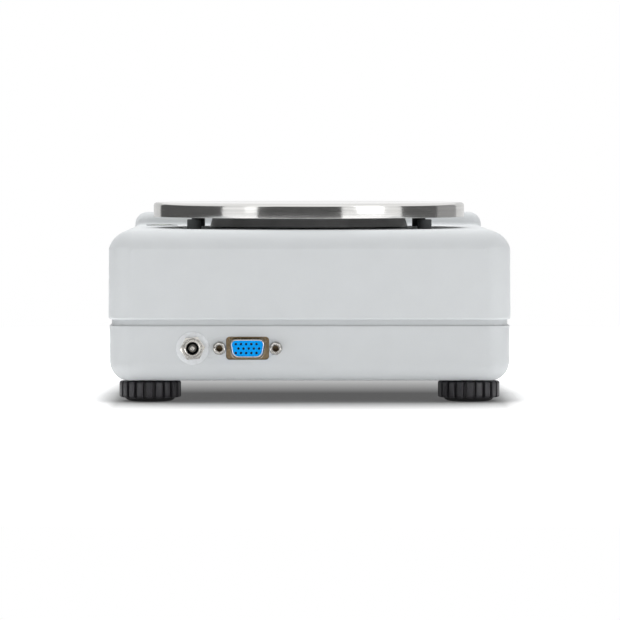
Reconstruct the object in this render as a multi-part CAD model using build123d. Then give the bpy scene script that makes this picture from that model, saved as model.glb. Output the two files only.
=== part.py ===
from build123d import *
import math
import os

os.makedirs("parts", exist_ok=True)

# Top-loading precision balance.
# Sizes are in millimetres and angles in degrees.
# The user sits on the -Y side. +X is the user's right, +Y the rear, +Z up.
# The table is z = 0. A depth is a distance forward of the upper housing's rear face.

# Making: how far a cut runs past a face, how deep two forms overlap where they are one piece,
# how much deeper a screw's bore is than the screw, and how near two equal sizes are
cut_over = 1.0
weld = 0.5
bore_over = 2.0
near = 0.01

# Housings
housing_width = 180.0
housing_depth = 250.0
underside_z = 9.7
split_z = 34.3
band_height = 2.8
deck_z = 77.0
front_top_z = 54.0
crease_behind_console = 7.0
crease_radius = 40.0
upper_wall = 2.4
upper_draft = 0.4
roll_radius = 11.0
roll_height = 8.3
rim_round = 1.0
lower_inset = 0.5
lower_wall = 3.2
lower_corner_radius = 10.2
lower_bottom_radius = 8.5
floor_thickness = 2.5
band_inset = 1.5
tongue_height = 2.8
tongue_clearance = 0.2

# Display console on the upper housing
console_side_margin = 6.4
console_front_margin = 7.0
console_share = 0.312
console_flat_length = 12.0
console_z = 83.2
console_front_z = 62.2
console_corner_radius = 10.0
console_top_radius = 6.0
console_ridge_radius = 14.0
console_root_fillet = 2.5
console_sink = 4.0

# Weighing pan and what carries it
pan_rear_margin = 15.0
pan_console_gap = 6.0
pan_height = 11.7
pan_rim_height = 6.7
pan_sheet = 1.5
pan_edge_radius = 1.5
pan_stub_radius = 6.0
pan_stub_length = 7.2
pan_stub_chamfer = 1.2
stub_clearance = 0.1
cushion_proud = 1.0
cushion_seat = 0.8
cushion_radius = 4.0
cushion_round = 0.4
cushion_count = 4
cushion_inset = 13.0
cushion_clearance = 0.1
support_inset = 26.0
support_slope = 0.3
support_gap = 0.6
support_skin = 2.5
support_plate = 3.0
support_rim_round = 0.8
support_rib = 2.0
support_ribs = 6
support_rib_turn = 30.0
hub_radius = 14.0
post_gap = 1.0
deck_opening_radius = 20.0
collar_wall = 2.2
collar_height = 1.6
rib_gap = 1.0

# Overload stops on the deck
stop_inset = 2.35
stop_angle = 41.33
stop_head_radius = 3.2
stop_gap = 0.6
stop_round = 0.5
stop_shank_radius = 2.0
stop_boss_radius = 4.5
stop_boss_depth = 4.0

# Levelling feet
foot_side_margin = 18.4
foot_rear_depth = 20.0
foot_front_margin = 20.0
wheel_radius = 13.85
wheel_height = 7.4
wheel_ribs = 20
wheel_groove_depth = 1.0
wheel_groove_share = 0.38
wheel_chamfer = 0.6
pad_height = 1.7
pad_radius = 11.3
pad_round = 0.7
pad_neck_radius = 4.0
pad_neck_height = 2.0
pad_clearance = 0.1
stud_radius = 3.0
stud_reach = 14.5
stud_chamfer = 0.75
stud_bore_clearance = 0.5
thread_clearance = 0.05
insert_radius = 4.2
insert_length = 12.0
foot_boss_radius = 7.0
foot_boss_top = 27.0
foot_boss_cap = 1.5

# Load cell and chassis
chassis_half_width = 34.0
chassis_margin = 10.0
chassis_thickness = 4.0
chassis_z = 17.0
chassis_corner_radius = 4.0
chassis_boss_radius = 4.5
chassis_screw_side = 6.0
chassis_screw_edge = 8.0
cell_inset = 17.0
cell_width = 24.0
cell_height = 22.0
cell_end_share = 0.23
cell_bore_radius = 7.5
cell_bore_share = 0.145
cell_slot_height = 5.0
cell_edge_round = 1.0
cell_screw_share = 0.56
cell_screw_radius = 2.5
cell_screw_head_radius = 4.25
cell_screw_head_height = 4.0
cell_screw_grip = 10.0
cell_screw_socket = 4.0
lower_spacer_height = 3.0
upper_spacer_height = 2.0
carrier_half_width = 15.0
carrier_disc_radius = 26.0
carrier_thickness = 5.0
carrier_fillet = 3.0
overload_screw_radius = 2.0
overload_gap = 0.6
overload_screw_length = 9.0
overload_screw_chamfer = 0.4
overload_socket_flats = 2.0
overload_socket_depth = 2.25
overload_nut_flats = 7.0
overload_nut_height = 2.0
overload_screw_inset = 8.0

# Recesses and edges of all screw heads, as shares of the head's radius or height
head_round_share = 0.25
socket_depth_share = 0.55
cross_arm_share = 1.1
cross_slot_share = 0.26
cross_depth_share = 0.6

# Screws of one size for the boards, chassis and pan support
m3_radius = 1.5
m3_head_radius = 2.75
m3_head_height = 2.0
m3_length = 7.0
m3_hole_clearance = 0.15
support_screw_circle = 10.0
support_screw_count = 3
support_screw_length = 17.0
support_screw_head_radius = 2.9
support_screw_head_height = 1.7

# Screws that hold the two housings together
housing_screw_side_margin = 16.0
housing_screw_rear_depth = 52.0
housing_screw_from_foot = 27.6
housing_screw_front_margin = 14.0
housing_screw_radius = 2.0
housing_screw_head_radius = 3.5
housing_screw_head_height = 2.6
housing_screw_length = 16.0
housing_screw_seat_z = 28.0
housing_pillar_radius = 6.0
housing_pillar_top = 33.0
housing_boss_radius = 4.5
head_clearance = 0.3

# Wall where the sockets are fastened
socket_z = 24.5
socket_wall = 2.0
socket_pocket_margin = 3.0

# DC power inlet
jack_side_margin = 37.8
jack_washer_radius = 7.35
jack_washer_thickness = 0.5
jack_nut_flats = 9.6
jack_nut_height = 2.4
jack_nut_turn = 5.0
jack_bushing_radius = 3.9
jack_bushing_reach = 3.7
jack_bushing_chamfer = 0.3
jack_sleeve_step = 0.5
jack_bore_radius = 2.8
jack_bore_depth = 9.7
jack_flange_radius = 5.5
jack_flange_thickness = 1.5
jack_body_radius = 5.2
jack_body_length = 11.0
jack_pin_radius = 1.05
jack_pin_recess = 1.0
jack_pin_round = 0.6
jack_pin_root_radius = 0.7
jack_pin_root_length = 3.0
jack_hole_clearance = 0.1
jack_lug_width = 3.0
jack_lug_length = 4.0
jack_lug_thickness = 0.5
jack_lug_share = 0.6

# 15-way data socket
port_from_jack = 24.5
port_cut_width = 19.2
port_cut_height = 10.3
port_cut_radius = 1.6
port_flange_width = 30.8
port_flange_height = 12.5
port_flange_thickness = 0.8
port_flange_radius = 1.5
port_shell_width = 16.33
port_shell_height = 7.9
port_shell_reach = 6.1
port_shell_skin = 0.4
port_shell_radius = 2.4
port_shell_slant = 10.0
port_insert_recess = 0.5
port_body_width = 19.0
port_body_height = 10.8
port_body_depth = 6.0
port_body_radius = 1.0
port_rows = 3
port_columns = 5
port_end_margin = 3.01
port_row_margin = 1.97
port_mouth_radius = 0.55
port_mouth_depth = 0.6
port_contact_radius = 0.75
port_contact_bore = 0.45
port_contact_length = 7.0
port_contact_floor = 0.7
jackscrew_pitch = 25.0
jackscrew_flats = 4.75
jackscrew_height = 4.8
jackscrew_shoulder_share = 0.5
jackscrew_bevel = 0.3
jackscrew_bore_radius = 1.42
jackscrew_bore_depth = 4.0
jackscrew_shank_radius = 1.4
jackscrew_hole_radius = 1.75
jackscrew_shank_length = 5.5
jackscrew_washer_radius = 3.0
jackscrew_washer_thickness = 0.5

# Boards
board_thickness = 1.6
interface_board_width = 34.0
interface_board_height = 19.0
main_board_side_margin = 30.0
main_board_chassis_gap = 8.0
main_board_front_margin = 24.0
main_board_z = 18.0
board_boss_radius = 3.5
board_screw_inset = 5.0
processor_size = 20.0
processor_height = 1.6
converter_size = 22.0
converter_height = 5.0
converter_share = 0.6
connector_length = 26.0
connector_width = 8.0
connector_height = 7.0
connector_share = 0.5
connector_row_share = 0.68
capacitor_radius = 4.0
capacitor_height = 10.0
capacitor_pitch = 11.0
capacitor_count = 3
capacitor_share = 0.6

# Display, in the console's sloping face
window_side_margin = 41.6
window_rear_margin = 7.0
window_key_gap = 7.5
window_thickness = 1.5
window_recess = 1.6
window_ledge = 2.0
window_radius = 3.0
window_clearance = 0.1
window_edge_round = 0.3
display_frame_side = 4.0
display_frame_end = 2.5
display_frame_skin = 0.8
display_frame_gap = 0.2
display_glass_side = 2.0
display_glass_end = 1.5
display_glass_thickness = 2.2
display_board_side_margin = 7.6
display_board_rear_margin = 4.5
display_board_front_margin = 12.8
display_screw_side = 5.0
display_screw_end = 4.5
display_board_drop = 8.0

# Keys below the display
key_count = 6
key_side_margin = 8.6
key_gap = 5.0
key_length = 11.0
key_radius = 2.5
key_proud = 1.0
key_clearance = 0.25
key_front_margin = 19.3
key_flange = 1.0
key_flange_thickness = 1.0
key_flange_gap = 0.1
key_edge_round = 0.5
key_travel = 0.5
key_stem_radius = 1.7
switch_size = 6.0
switch_height = 3.4
switch_bore_clearance = 0.1
switch_bore_depth = 1.6

# Bubble level in the deck
level_side_margin = 20.0
level_console_gap = 15.0
level_radius = 6.5
level_flange = 1.0
level_flange_thickness = 0.4
level_cup_depth = 11.0
level_cup_wall = 1.0
level_hole_clearance = 0.1
level_vial_drop = 0.2
level_vial_round = 0.5

# Places worked out from the sizes above
rear_reach = jackscrew_washer_thickness + jackscrew_height - lower_inset
rear_y = (housing_depth - rear_reach) / 2
front_y = rear_y - housing_depth
half_width = housing_width / 2
rim_z = split_z + band_height
floor_z = underside_z + floor_thickness
socket_face_y = rear_y - lower_inset

console_width = housing_width - 2 * console_side_margin
console_front_depth = housing_depth - console_front_margin
console_rear_depth = console_front_depth - console_share * housing_depth
console_ridge_depth = console_rear_depth + console_flat_length
crease_y = rear_y - console_rear_depth - crease_behind_console

pan_diameter = console_rear_depth - pan_rear_margin - pan_console_gap
pan_depth = pan_rear_margin + pan_diameter / 2
pan_y = rear_y - pan_depth
support_foot_radius = pan_diameter / 2 - support_inset
cushion_circle_radius = support_foot_radius - cushion_inset
stop_circle = pan_diameter / 2 - stop_inset
stop_x = stop_circle * math.cos(math.radians(stop_angle))
stop_offset = stop_circle * math.sin(math.radians(stop_angle))

cell_length = pan_diameter - 2 * cell_inset
cell_end_length = cell_length * cell_end_share
cell_screw_pitch = cell_end_length * cell_screw_share
cell_bore_offset = cell_length * cell_bore_share
chassis_screw_x = chassis_half_width - chassis_screw_side
chassis_front_depth = pan_depth + cell_length / 2 + chassis_margin
chassis_rear_depth = pan_depth - cell_length / 2 - chassis_margin

foot_x = half_width - foot_side_margin
foot_front_depth = housing_depth - foot_front_margin
housing_screw_rear_x = half_width - housing_screw_side_margin
housing_screw_front_x = foot_x - housing_screw_from_foot
housing_screw_front_depth = housing_depth - housing_screw_front_margin
jack_x = half_width - jack_side_margin
port_x = jack_x - port_from_jack
port_pitch = (port_shell_width / 2 - port_end_margin) / (port_columns / 2 - 0.25)
port_row_pitch = port_shell_height / 2 - port_row_margin
main_board_half_width = half_width - main_board_side_margin
main_board_rear_depth = chassis_front_depth + main_board_chassis_gap
main_board_front_depth = housing_depth - main_board_front_margin
level_x = half_width - level_side_margin
level_depth = console_rear_depth - level_console_gap

slope = math.atan2(deck_z - front_top_z, crease_y - front_y)
pan_top_z = deck_z + pan_height
pan_under_z = pan_top_z - pan_sheet
support_top_z = pan_under_z - cushion_proud
support_bottom_z = deck_z + support_gap
post_top_z = deck_z - post_gap
stop_height = pan_height - pan_rim_height - stop_gap
collar_z = deck_z + collar_height
cell_z = chassis_z + chassis_thickness + lower_spacer_height
cell_top_z = cell_z + cell_height
carrier_z = cell_top_z + upper_spacer_height
console_slope = math.atan2(console_z - console_front_z, console_front_depth - console_ridge_depth)
slope_length = math.hypot(console_z - console_front_z, console_front_depth - console_ridge_depth)

key_pitch = (console_width - 2 * key_side_margin) / key_count
key_width = key_pitch - key_gap
key_centre = slope_length - key_front_margin
window_width = console_width - 2 * window_side_margin
window_length = key_centre - key_length / 2 - window_key_gap - window_rear_margin
window_centre = window_rear_margin + window_length / 2
display_frame_width = window_width + 2 * display_frame_side
display_frame_length = window_length + 2 * display_frame_end
display_glass_width = window_width + 2 * display_glass_side
display_glass_length = window_length + 2 * display_glass_end
display_board_half_width = console_width / 2 - display_board_side_margin
display_board_length = slope_length - display_board_rear_margin - display_board_front_margin
display_board_centre = display_board_rear_margin + display_board_length / 2
display_screw_x = display_board_half_width - display_screw_side
display_screw_upper = display_board_rear_margin + display_screw_end
display_screw_lower = key_centre - key_length / 2 - window_key_gap

# The console's sloping face: local X to the right, local Y up the slope, local Z out of the face
console_plane = Plane(
    origin=(0, rear_y - console_ridge_depth, console_z),
    x_dir=(1, 0, 0),
    z_dir=(0, -math.sin(console_slope), math.cos(console_slope)),
)


def save(shape, name):
    """Write one sub-part."""
    export_step(Compound(children=[s for s in shape.solids()]), f"parts/{name}.step")


def cylinder(radius, z_low, z_high, x=0.0, y=0.0):
    """Upright cylinder between two heights."""
    return Pos(x, y, z_low) * Cylinder(radius, z_high - z_low, align=(Align.CENTER, Align.CENTER, Align.MIN))


def bore(radius, z_low, z_high, x=0.0, y=0.0):
    """Cutter for an upright hole that runs past both heights."""
    return cylinder(radius, z_low - cut_over, z_high + cut_over, x, y)


def block(x_low, x_high, y_low, y_high, z_low, z_high):
    """Block between two corners."""
    size = (x_high - x_low, y_high - y_low, z_high - z_low)
    return Pos(x_low, y_low, z_low) * Box(*size, align=(Align.MIN, Align.MIN, Align.MIN))


def upright(plan, z_low, z_high, taper=0.0):
    """Plan drawn on the XY plane, raised between two heights."""
    return extrude(Pos(0, 0, z_low) * plan, amount=z_high - z_low, taper=taper)


def rounded_plan(half_x, y_low, y_high, radius):
    """Rounded rectangle about the middle plane, between two Y values."""
    return Pos(0, (y_low + y_high) / 2) * RectangleRounded(2 * half_x, y_high - y_low, radius)


def turned(points, x=0.0, y=0.0):
    """Body of revolution about an upright axis from (radius, height) points."""
    section = make_face(Polyline(*[(r, 0, z) for r, z in points], close=True))
    return Pos(x, y, 0) * revolve(section, Axis.Z)


def facing_rear(shape, x, out=0.0):
    """Stand a shape made along +Z out of the sockets' wall at the sockets' height."""
    return Pos(x, socket_face_y + out, socket_z) * Rot(-90, 0, 0) * shape


def join(shapes):
    """Put separate solids together in one sub-part."""
    return Compound(children=[s for shape in shapes for s in shape.solids()])


def side_profile(points, roundings):
    """Side view in the YZ plane, with some corners rounded."""
    face = make_face(Polyline(*[(0, y, z) for y, z in points], close=True))
    for (y, z), radius in roundings:
        corner = face.vertices().sort_by_distance((0, y, z))[0]
        face = fillet(corner, radius)
    return face


def runs_level(edge):
    """Whether an edge runs level or along a slope, and not upright."""
    tangent = edge.tangent_at(0.5)
    return abs(tangent.Z) < math.hypot(tangent.X, tangent.Y)


def top_edges(solid, half_x, z_low):
    """Edges round the top of a block made from a side profile."""
    chosen = []
    front = solid.bounding_box().min.Y
    rear = solid.bounding_box().max.Y
    for edge in solid.edges():
        middle = edge.center()
        on_side = abs(abs(middle.X) - half_x) < near
        on_end = min(abs(middle.Y - front), abs(middle.Y - rear)) < near
        if runs_level(edge) and middle.Z > z_low + near and (on_side or on_end):
            chosen.append(edge)
    return chosen


def base_form(inset):
    """Rolled body of the upper housing, drawn in by inset on every side."""
    radius = roll_radius - inset
    break_z = deck_z - roll_height
    swell = roll_radius - math.sqrt(roll_radius**2 - (roll_radius - roll_height) ** 2)
    drawn_in = (break_z - rim_z) * math.tan(math.radians(upper_draft))
    grow = swell - drawn_in - inset
    low = rim_z - roll_radius
    top = deck_z - inset
    fold_y = crease_y + inset * math.tan(slope / 2)
    fold_drop = (fold_y - front_y + grow) * math.tan(slope)
    points = [
        (rear_y + grow, low),
        (rear_y + grow, top),
        (fold_y, top),
        (front_y - grow, top - fold_drop),
        (front_y - grow, low),
    ]
    face = side_profile(points, [((fold_y, top), crease_radius)])
    rolled = extrude(face, amount=half_width + grow, both=True)
    edges = list(rolled.edges().filter_by(Axis.Z)) + top_edges(rolled, half_width + grow, low)
    rolled = fillet(edges, radius)
    plan = rounded_plan(half_width - inset, front_y + inset, rear_y - inset, radius)
    walls = upright(plan, rim_z, deck_z + cut_over, taper=upper_draft)
    return rolled & walls


def console_form(inset, z_low):
    """Console on the upper housing, drawn in by inset on every side."""
    rear = rear_y - console_rear_depth - inset
    front = rear_y - console_front_depth + inset
    ridge = rear_y - console_ridge_depth + inset * math.tan(console_slope / 2)
    top = console_z - inset
    points = [
        (rear, z_low),
        (rear, top),
        (ridge, top),
        (front, top - (ridge - front) * math.tan(console_slope)),
        (front, z_low),
    ]
    face = side_profile(points, [((ridge, top), console_ridge_radius)])
    half = console_width / 2 - inset
    form = extrude(face, amount=half, both=True)
    form = fillet(form.edges().filter_by(Axis.Z), console_corner_radius - inset)
    rim = [
        e
        for e in form.edges()
        if e.center().Z > z_low + near and not e.is_interior and runs_level(e)
    ]
    return fillet(rim, console_top_radius - inset)


def lower_form(inset, z_low, z_high, bottom_radius):
    """Rounded tray of the lower housing, drawn in by inset on every side."""
    y_low = front_y + lower_inset + inset
    y_high = rear_y - lower_inset - inset
    plan = rounded_plan(half_width - lower_inset - inset, y_low, y_high, lower_corner_radius - inset)
    form = upright(plan, z_low, z_high)
    return fillet(form.faces().sort_by(Axis.Z)[0].edges(), bottom_radius)


def foot_places():
    """Name and place of each levelling foot."""
    sides = [("left", -foot_x), ("right", foot_x)]
    ends = [("front", rear_y - foot_front_depth), ("rear", rear_y - foot_rear_depth)]
    return [(f"{end}_{side}", x, y) for end, y in ends for side, x in sides]


def housing_screw_places():
    """Places of the screws that hold the housings together."""
    rear = rear_y - housing_screw_rear_depth
    front = rear_y - housing_screw_front_depth
    pairs = [(housing_screw_front_x, front), (housing_screw_rear_x, rear)]
    return [(side * x, y) for x, y in pairs for side in (-1, 1)]


def chassis_screw_places():
    """Places of the screws at the corners of the chassis plate."""
    rear = rear_y - chassis_rear_depth - chassis_screw_edge
    front = rear_y - chassis_front_depth + chassis_screw_edge
    return [(x, y) for y in (front, rear) for x in (-chassis_screw_x, chassis_screw_x)]


def main_board_screw_places():
    """Places of the screws at the corners of the main board."""
    x = main_board_half_width - board_screw_inset
    rear = rear_y - main_board_rear_depth - board_screw_inset
    front = rear_y - main_board_front_depth + board_screw_inset
    return [(side * x, y) for y in (front, rear) for side in (-1, 1)]


def stop_places():
    """Places of the overload stops round the pan's centre."""
    return [(x, pan_y + dy) for dy in (-stop_offset, stop_offset) for x in (-stop_x, stop_x)]


def cell_screw_places():
    """Places of the load cell's fixed-end screws and of its free-end screws."""
    far = (cell_length - cell_end_length) / 2
    fixed = [(0, pan_y - far + step * cell_screw_pitch / 2) for step in (-1, 1)]
    free = [(0, pan_y + far + step * cell_screw_pitch / 2) for step in (-1, 1)]
    return fixed, free


def on_console(x, y, z=0.0):
    """Location on the console's sloping face."""
    return console_plane.location * Pos(x, y, z)


def display_board_screw_places():
    """Places of the display board's screws on the sloping face."""
    rows = (-display_screw_upper, -display_screw_lower)
    return [(side * display_screw_x, y) for y in rows for side in (-1, 1)]


def key_places():
    """Places of the key centres along the sloping face."""
    first = -(key_count - 1) * key_pitch / 2
    return [(first + i * key_pitch, -key_centre) for i in range(key_count)]


def cross_plan(head_radius):
    """Cross recess of a screw's head."""
    arm = head_radius * cross_arm_share
    slot = head_radius * cross_slot_share
    return Rectangle(arm, slot) + Rectangle(slot, arm)


def screw(radius, length, head_radius, head_height, socket_flats=0.0):
    """Screw standing on its head's seat: head above z = 0, shank below."""
    body = cylinder(radius, -length, 0) + cylinder(head_radius, 0, head_height)
    body = fillet(body.edges().group_by(Axis.Z)[-1], head_height * head_round_share)
    if socket_flats:
        recess = RegularPolygon(socket_flats / 2, 6, major_radius=False)
        body -= extrude(Pos(0, 0, head_height) * recess, amount=-head_height * socket_depth_share)
    else:
        cross = Pos(0, 0, head_height) * cross_plan(head_radius)
        body -= extrude(cross, amount=-head_height * cross_depth_share)
    return body


def countersunk_screw(radius, length, head_radius, head_height):
    """Screw with its flat head's top at z = 0."""
    points = [(0, 0), (head_radius, 0), (radius, -head_height), (radius, -length), (0, -length)]
    return turned(points) - extrude(cross_plan(head_radius), amount=-head_height * cross_depth_share)


def make_upper_housing():
    """Cover with deck, console, collar round the load opening, and bosses inside."""
    outer = base_form(0) + console_form(0, front_top_z - console_sink)
    console_rear_y = rear_y - console_rear_depth
    root = [
        edge
        for edge in outer.edges().filter_by(Axis.X)
        if abs(edge.center().Y - console_rear_y) < near and abs(edge.center().Z - deck_z) < near
    ]
    outer = fillet(root, console_root_fillet)
    body = outer - base_form(upper_wall) - console_form(upper_wall, front_top_z - 3 * console_sink)
    skin_middle = base_form(upper_wall / 2) + console_form(upper_wall / 2, front_top_z - 2 * console_sink)
    rim = body.faces().sort_by(Axis.Z)[0].outer_wire().edges()
    body = fillet(rim, rim_round)

    body += cylinder(deck_opening_radius + collar_wall, deck_z - upper_wall, collar_z, 0, pan_y)
    body -= bore(deck_opening_radius, deck_z - upper_wall, collar_z, 0, pan_y)

    for x, y in stop_places():
        boss_low = deck_z - upper_wall - stop_boss_depth
        body += cylinder(stop_boss_radius, boss_low, deck_z - weld, x, y)
        body -= bore(stop_shank_radius, boss_low, deck_z, x, y)

    for x, y in housing_screw_places():
        body += cylinder(housing_boss_radius, housing_pillar_top, deck_z, x, y) & skin_middle
        top = housing_screw_seat_z + housing_screw_length + bore_over
        body -= cylinder(housing_screw_radius + thread_clearance, housing_pillar_top - cut_over, top, x, y)

    level_bore = level_radius + level_hole_clearance
    body -= bore(level_bore, deck_z - upper_wall, deck_z, level_x, rear_y - level_depth)

    opening = RectangleRounded(
        window_width - 2 * window_ledge, window_length - 2 * window_ledge, window_radius - window_ledge / 2
    )
    seat = RectangleRounded(
        window_width + 2 * window_clearance, window_length + 2 * window_clearance, window_radius
    )
    at_window = on_console(0, -window_centre)
    body -= at_window * extrude(opening, amount=upper_wall + cut_over, both=True)
    body -= at_window * extrude(seat, amount=window_recess, both=True)
    hole = RectangleRounded(key_width + 2 * key_clearance, key_length + 2 * key_clearance, key_radius)
    for x, y in key_places():
        body -= on_console(x, y) * extrude(hole, amount=upper_wall + cut_over, both=True)

    for x, y in display_board_screw_places():
        post = Pos(0, 0, -display_board_drop) * Cylinder(
            board_boss_radius, display_board_drop - weld, align=(Align.CENTER, Align.CENTER, Align.MIN)
        )
        thread = Pos(0, 0, -display_board_drop - cut_over) * Cylinder(
            m3_radius + thread_clearance, m3_length, align=(Align.CENTER, Align.CENTER, Align.MIN)
        )
        body += on_console(x, y) * post
        body -= on_console(x, y) * thread
    return body


def make_lower_housing():
    """Tray with tongue, foot bosses, screw pillars, board bosses and socket wall."""
    body = lower_form(0, underside_z, split_z, lower_bottom_radius)
    band_half = half_width - band_inset
    band = rounded_plan(
        band_half, front_y + band_inset, rear_y - band_inset, lower_corner_radius - band_inset + lower_inset
    )
    body += upright(band, split_z, rim_z)
    tongue_inset = upper_wall + tongue_clearance
    tongue = rounded_plan(
        half_width - tongue_inset, front_y + tongue_inset, rear_y - tongue_inset,
        lower_corner_radius - tongue_inset + lower_inset,
    )
    body += upright(tongue, rim_z, rim_z + tongue_height)
    inner_bottom = lower_bottom_radius - floor_thickness
    body -= lower_form(lower_wall, floor_z, rim_z + tongue_height + cut_over, inner_bottom)

    for _, x, y in foot_places():
        body += cylinder(foot_boss_radius, floor_z - weld, foot_boss_top, x, y)
        body -= cylinder(insert_radius, underside_z - cut_over, underside_z + insert_length, x, y)
        body -= cylinder(stud_radius + stud_bore_clearance, underside_z, foot_boss_top - foot_boss_cap, x, y)

    for x, y in housing_screw_places():
        body += cylinder(housing_pillar_radius, floor_z - weld, housing_pillar_top, x, y)
        body -= bore(housing_screw_radius + m3_hole_clearance, floor_z, housing_pillar_top, x, y)
        well = housing_screw_head_radius + head_clearance
        body -= cylinder(well, underside_z - cut_over, housing_screw_seat_z, x, y)

    for x, y in chassis_screw_places():
        body += cylinder(chassis_boss_radius, floor_z - weld, chassis_z, x, y)
        body -= cylinder(m3_radius + thread_clearance, floor_z, chassis_z + cut_over, x, y)
    for x, y in main_board_screw_places():
        body += cylinder(board_boss_radius, floor_z - weld, main_board_z, x, y)
        body -= cylinder(m3_radius + thread_clearance, floor_z, main_board_z + cut_over, x, y)

    pocket_low = port_x - port_flange_width / 2 - socket_pocket_margin
    pocket_high = jack_x + jack_flange_radius + socket_pocket_margin
    pocket_half = port_flange_height / 2 + socket_pocket_margin / 2
    inner_y = socket_face_y - lower_wall
    body -= block(
        pocket_low, pocket_high, inner_y - cut_over, socket_face_y - socket_wall,
        socket_z - pocket_half, socket_z + pocket_half,
    )
    bushing_hole = Cylinder(jack_bushing_radius + jack_hole_clearance, 3 * lower_wall)
    body -= facing_rear(bushing_hole, jack_x)
    cut = RectangleRounded(port_cut_width, port_cut_height, port_cut_radius)
    body -= facing_rear(extrude(cut, amount=2 * lower_wall, both=True), port_x)
    for side in (-1, 1):
        hole = Cylinder(jackscrew_hole_radius, 3 * lower_wall)
        body -= facing_rear(hole, port_x + side * jackscrew_pitch / 2)
    return body


def make_housing_screws():
    """Screws that come up through the lower housing's pillars."""
    one = screw(
        housing_screw_radius, housing_screw_length, housing_screw_head_radius, housing_screw_head_height
    )
    seat = housing_screw_seat_z
    return join([Pos(x, y, seat) * Rot(180, 0, 0) * one for x, y in housing_screw_places()])


def make_overload_stops():
    """Buffers that stop the pan's rim when a corner is overloaded."""
    low = deck_z - upper_wall - stop_boss_depth
    head = cylinder(stop_head_radius, deck_z, deck_z + stop_height)
    head = fillet(head.edges().group_by(Axis.Z)[-1], stop_round)
    one = head + cylinder(stop_shank_radius, low, deck_z)
    return join([Pos(x, y, 0) * one for x, y in stop_places()])


def make_foot_inserts():
    """Brass inserts that the feet screw into."""
    one = cylinder(insert_radius, underside_z, underside_z + insert_length)
    one -= bore(stud_radius + thread_clearance, underside_z, underside_z + insert_length)
    return join([Pos(x, y, 0) * one for _, x, y in foot_places()])


def wheel_outline():
    """Ribbed outline of the foot wheel."""
    outline = Circle(wheel_radius)
    pitch = 360 / wheel_ribs
    groove_width = 2 * math.pi * wheel_radius / wheel_ribs * wheel_groove_share
    for i in range(wheel_ribs):
        groove = Pos(wheel_radius, 0) * Rectangle(2 * wheel_groove_depth, groove_width)
        outline -= Rot(0, 0, i * pitch) * groove
    return outline


def make_foot_wheel(x, y):
    """Ribbed wheel that turns the stud."""
    top = pad_height + wheel_height
    wheel = upright(wheel_outline(), pad_height + pad_clearance, top)
    crown = turned([
        (0, pad_height), (wheel_radius, pad_height), (wheel_radius, top - wheel_chamfer),
        (wheel_radius - wheel_chamfer, top), (0, top),
    ])
    wheel &= crown
    wheel -= cylinder(pad_neck_radius + pad_clearance, 0, pad_height + pad_neck_height + pad_clearance)
    wheel -= bore(stud_radius, 0, top)
    return Pos(x, y, 0) * wheel


def make_foot_stud(x, y):
    """Threaded stud moulded into the wheel."""
    top = pad_height + wheel_height + stud_reach
    low = pad_height + pad_neck_height + pad_clearance
    stud = cylinder(stud_radius, low, top)
    stud = chamfer(stud.edges().group_by(Axis.Z)[-1], stud_chamfer)
    return Pos(x, y, 0) * stud


def make_foot_pad(x, y):
    """Pad that stays put while the wheel above it turns."""
    pad = cylinder(pad_radius, 0, pad_height)
    pad = fillet(pad.edges().group_by(Axis.Z)[0], pad_round)
    pad += cylinder(pad_neck_radius, pad_height, pad_height + pad_neck_height)
    return Pos(x, y, 0) * pad


def make_chassis_plate():
    """Plate that carries the load cell."""
    plate = block(
        -chassis_half_width, chassis_half_width, rear_y - chassis_front_depth, rear_y - chassis_rear_depth,
        chassis_z, chassis_z + chassis_thickness,
    )
    plate = fillet(plate.edges().filter_by(Axis.Z), chassis_corner_radius)
    for x, y in chassis_screw_places():
        plate -= bore(m3_radius + m3_hole_clearance, chassis_z, chassis_z + chassis_thickness, x, y)
    for x, y in cell_screw_places()[0]:
        plate -= bore(cell_screw_radius + m3_hole_clearance, chassis_z, chassis_z + chassis_thickness, x, y)
    overload_y = pan_y + cell_length / 2 - overload_screw_inset
    thread = overload_screw_radius + thread_clearance
    return plate - bore(thread, chassis_z, chassis_z + chassis_thickness, 0, overload_y)


def cell_end_block(y_centre, z_low, z_high):
    """Block as wide as the load cell and as long as one of its ends."""
    half = cell_width / 2
    return block(-half, half, y_centre - cell_end_length / 2, y_centre + cell_end_length / 2, z_low, z_high)


def make_lower_spacer():
    """Spacer between the chassis plate and the load cell's fixed end."""
    middle = pan_y - (cell_length - cell_end_length) / 2
    spacer = cell_end_block(middle, chassis_z + chassis_thickness, cell_z)
    for x, y in cell_screw_places()[0]:
        spacer -= bore(cell_screw_radius + m3_hole_clearance, chassis_z, cell_z, x, y)
    return spacer


def make_upper_spacer():
    """Spacer between the load cell's free end and the pan carrier."""
    middle = pan_y + (cell_length - cell_end_length) / 2
    spacer = cell_end_block(middle, cell_top_z, carrier_z)
    for x, y in cell_screw_places()[1]:
        spacer -= bore(cell_screw_radius + m3_hole_clearance, cell_top_z, carrier_z, x, y)
    return spacer


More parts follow.
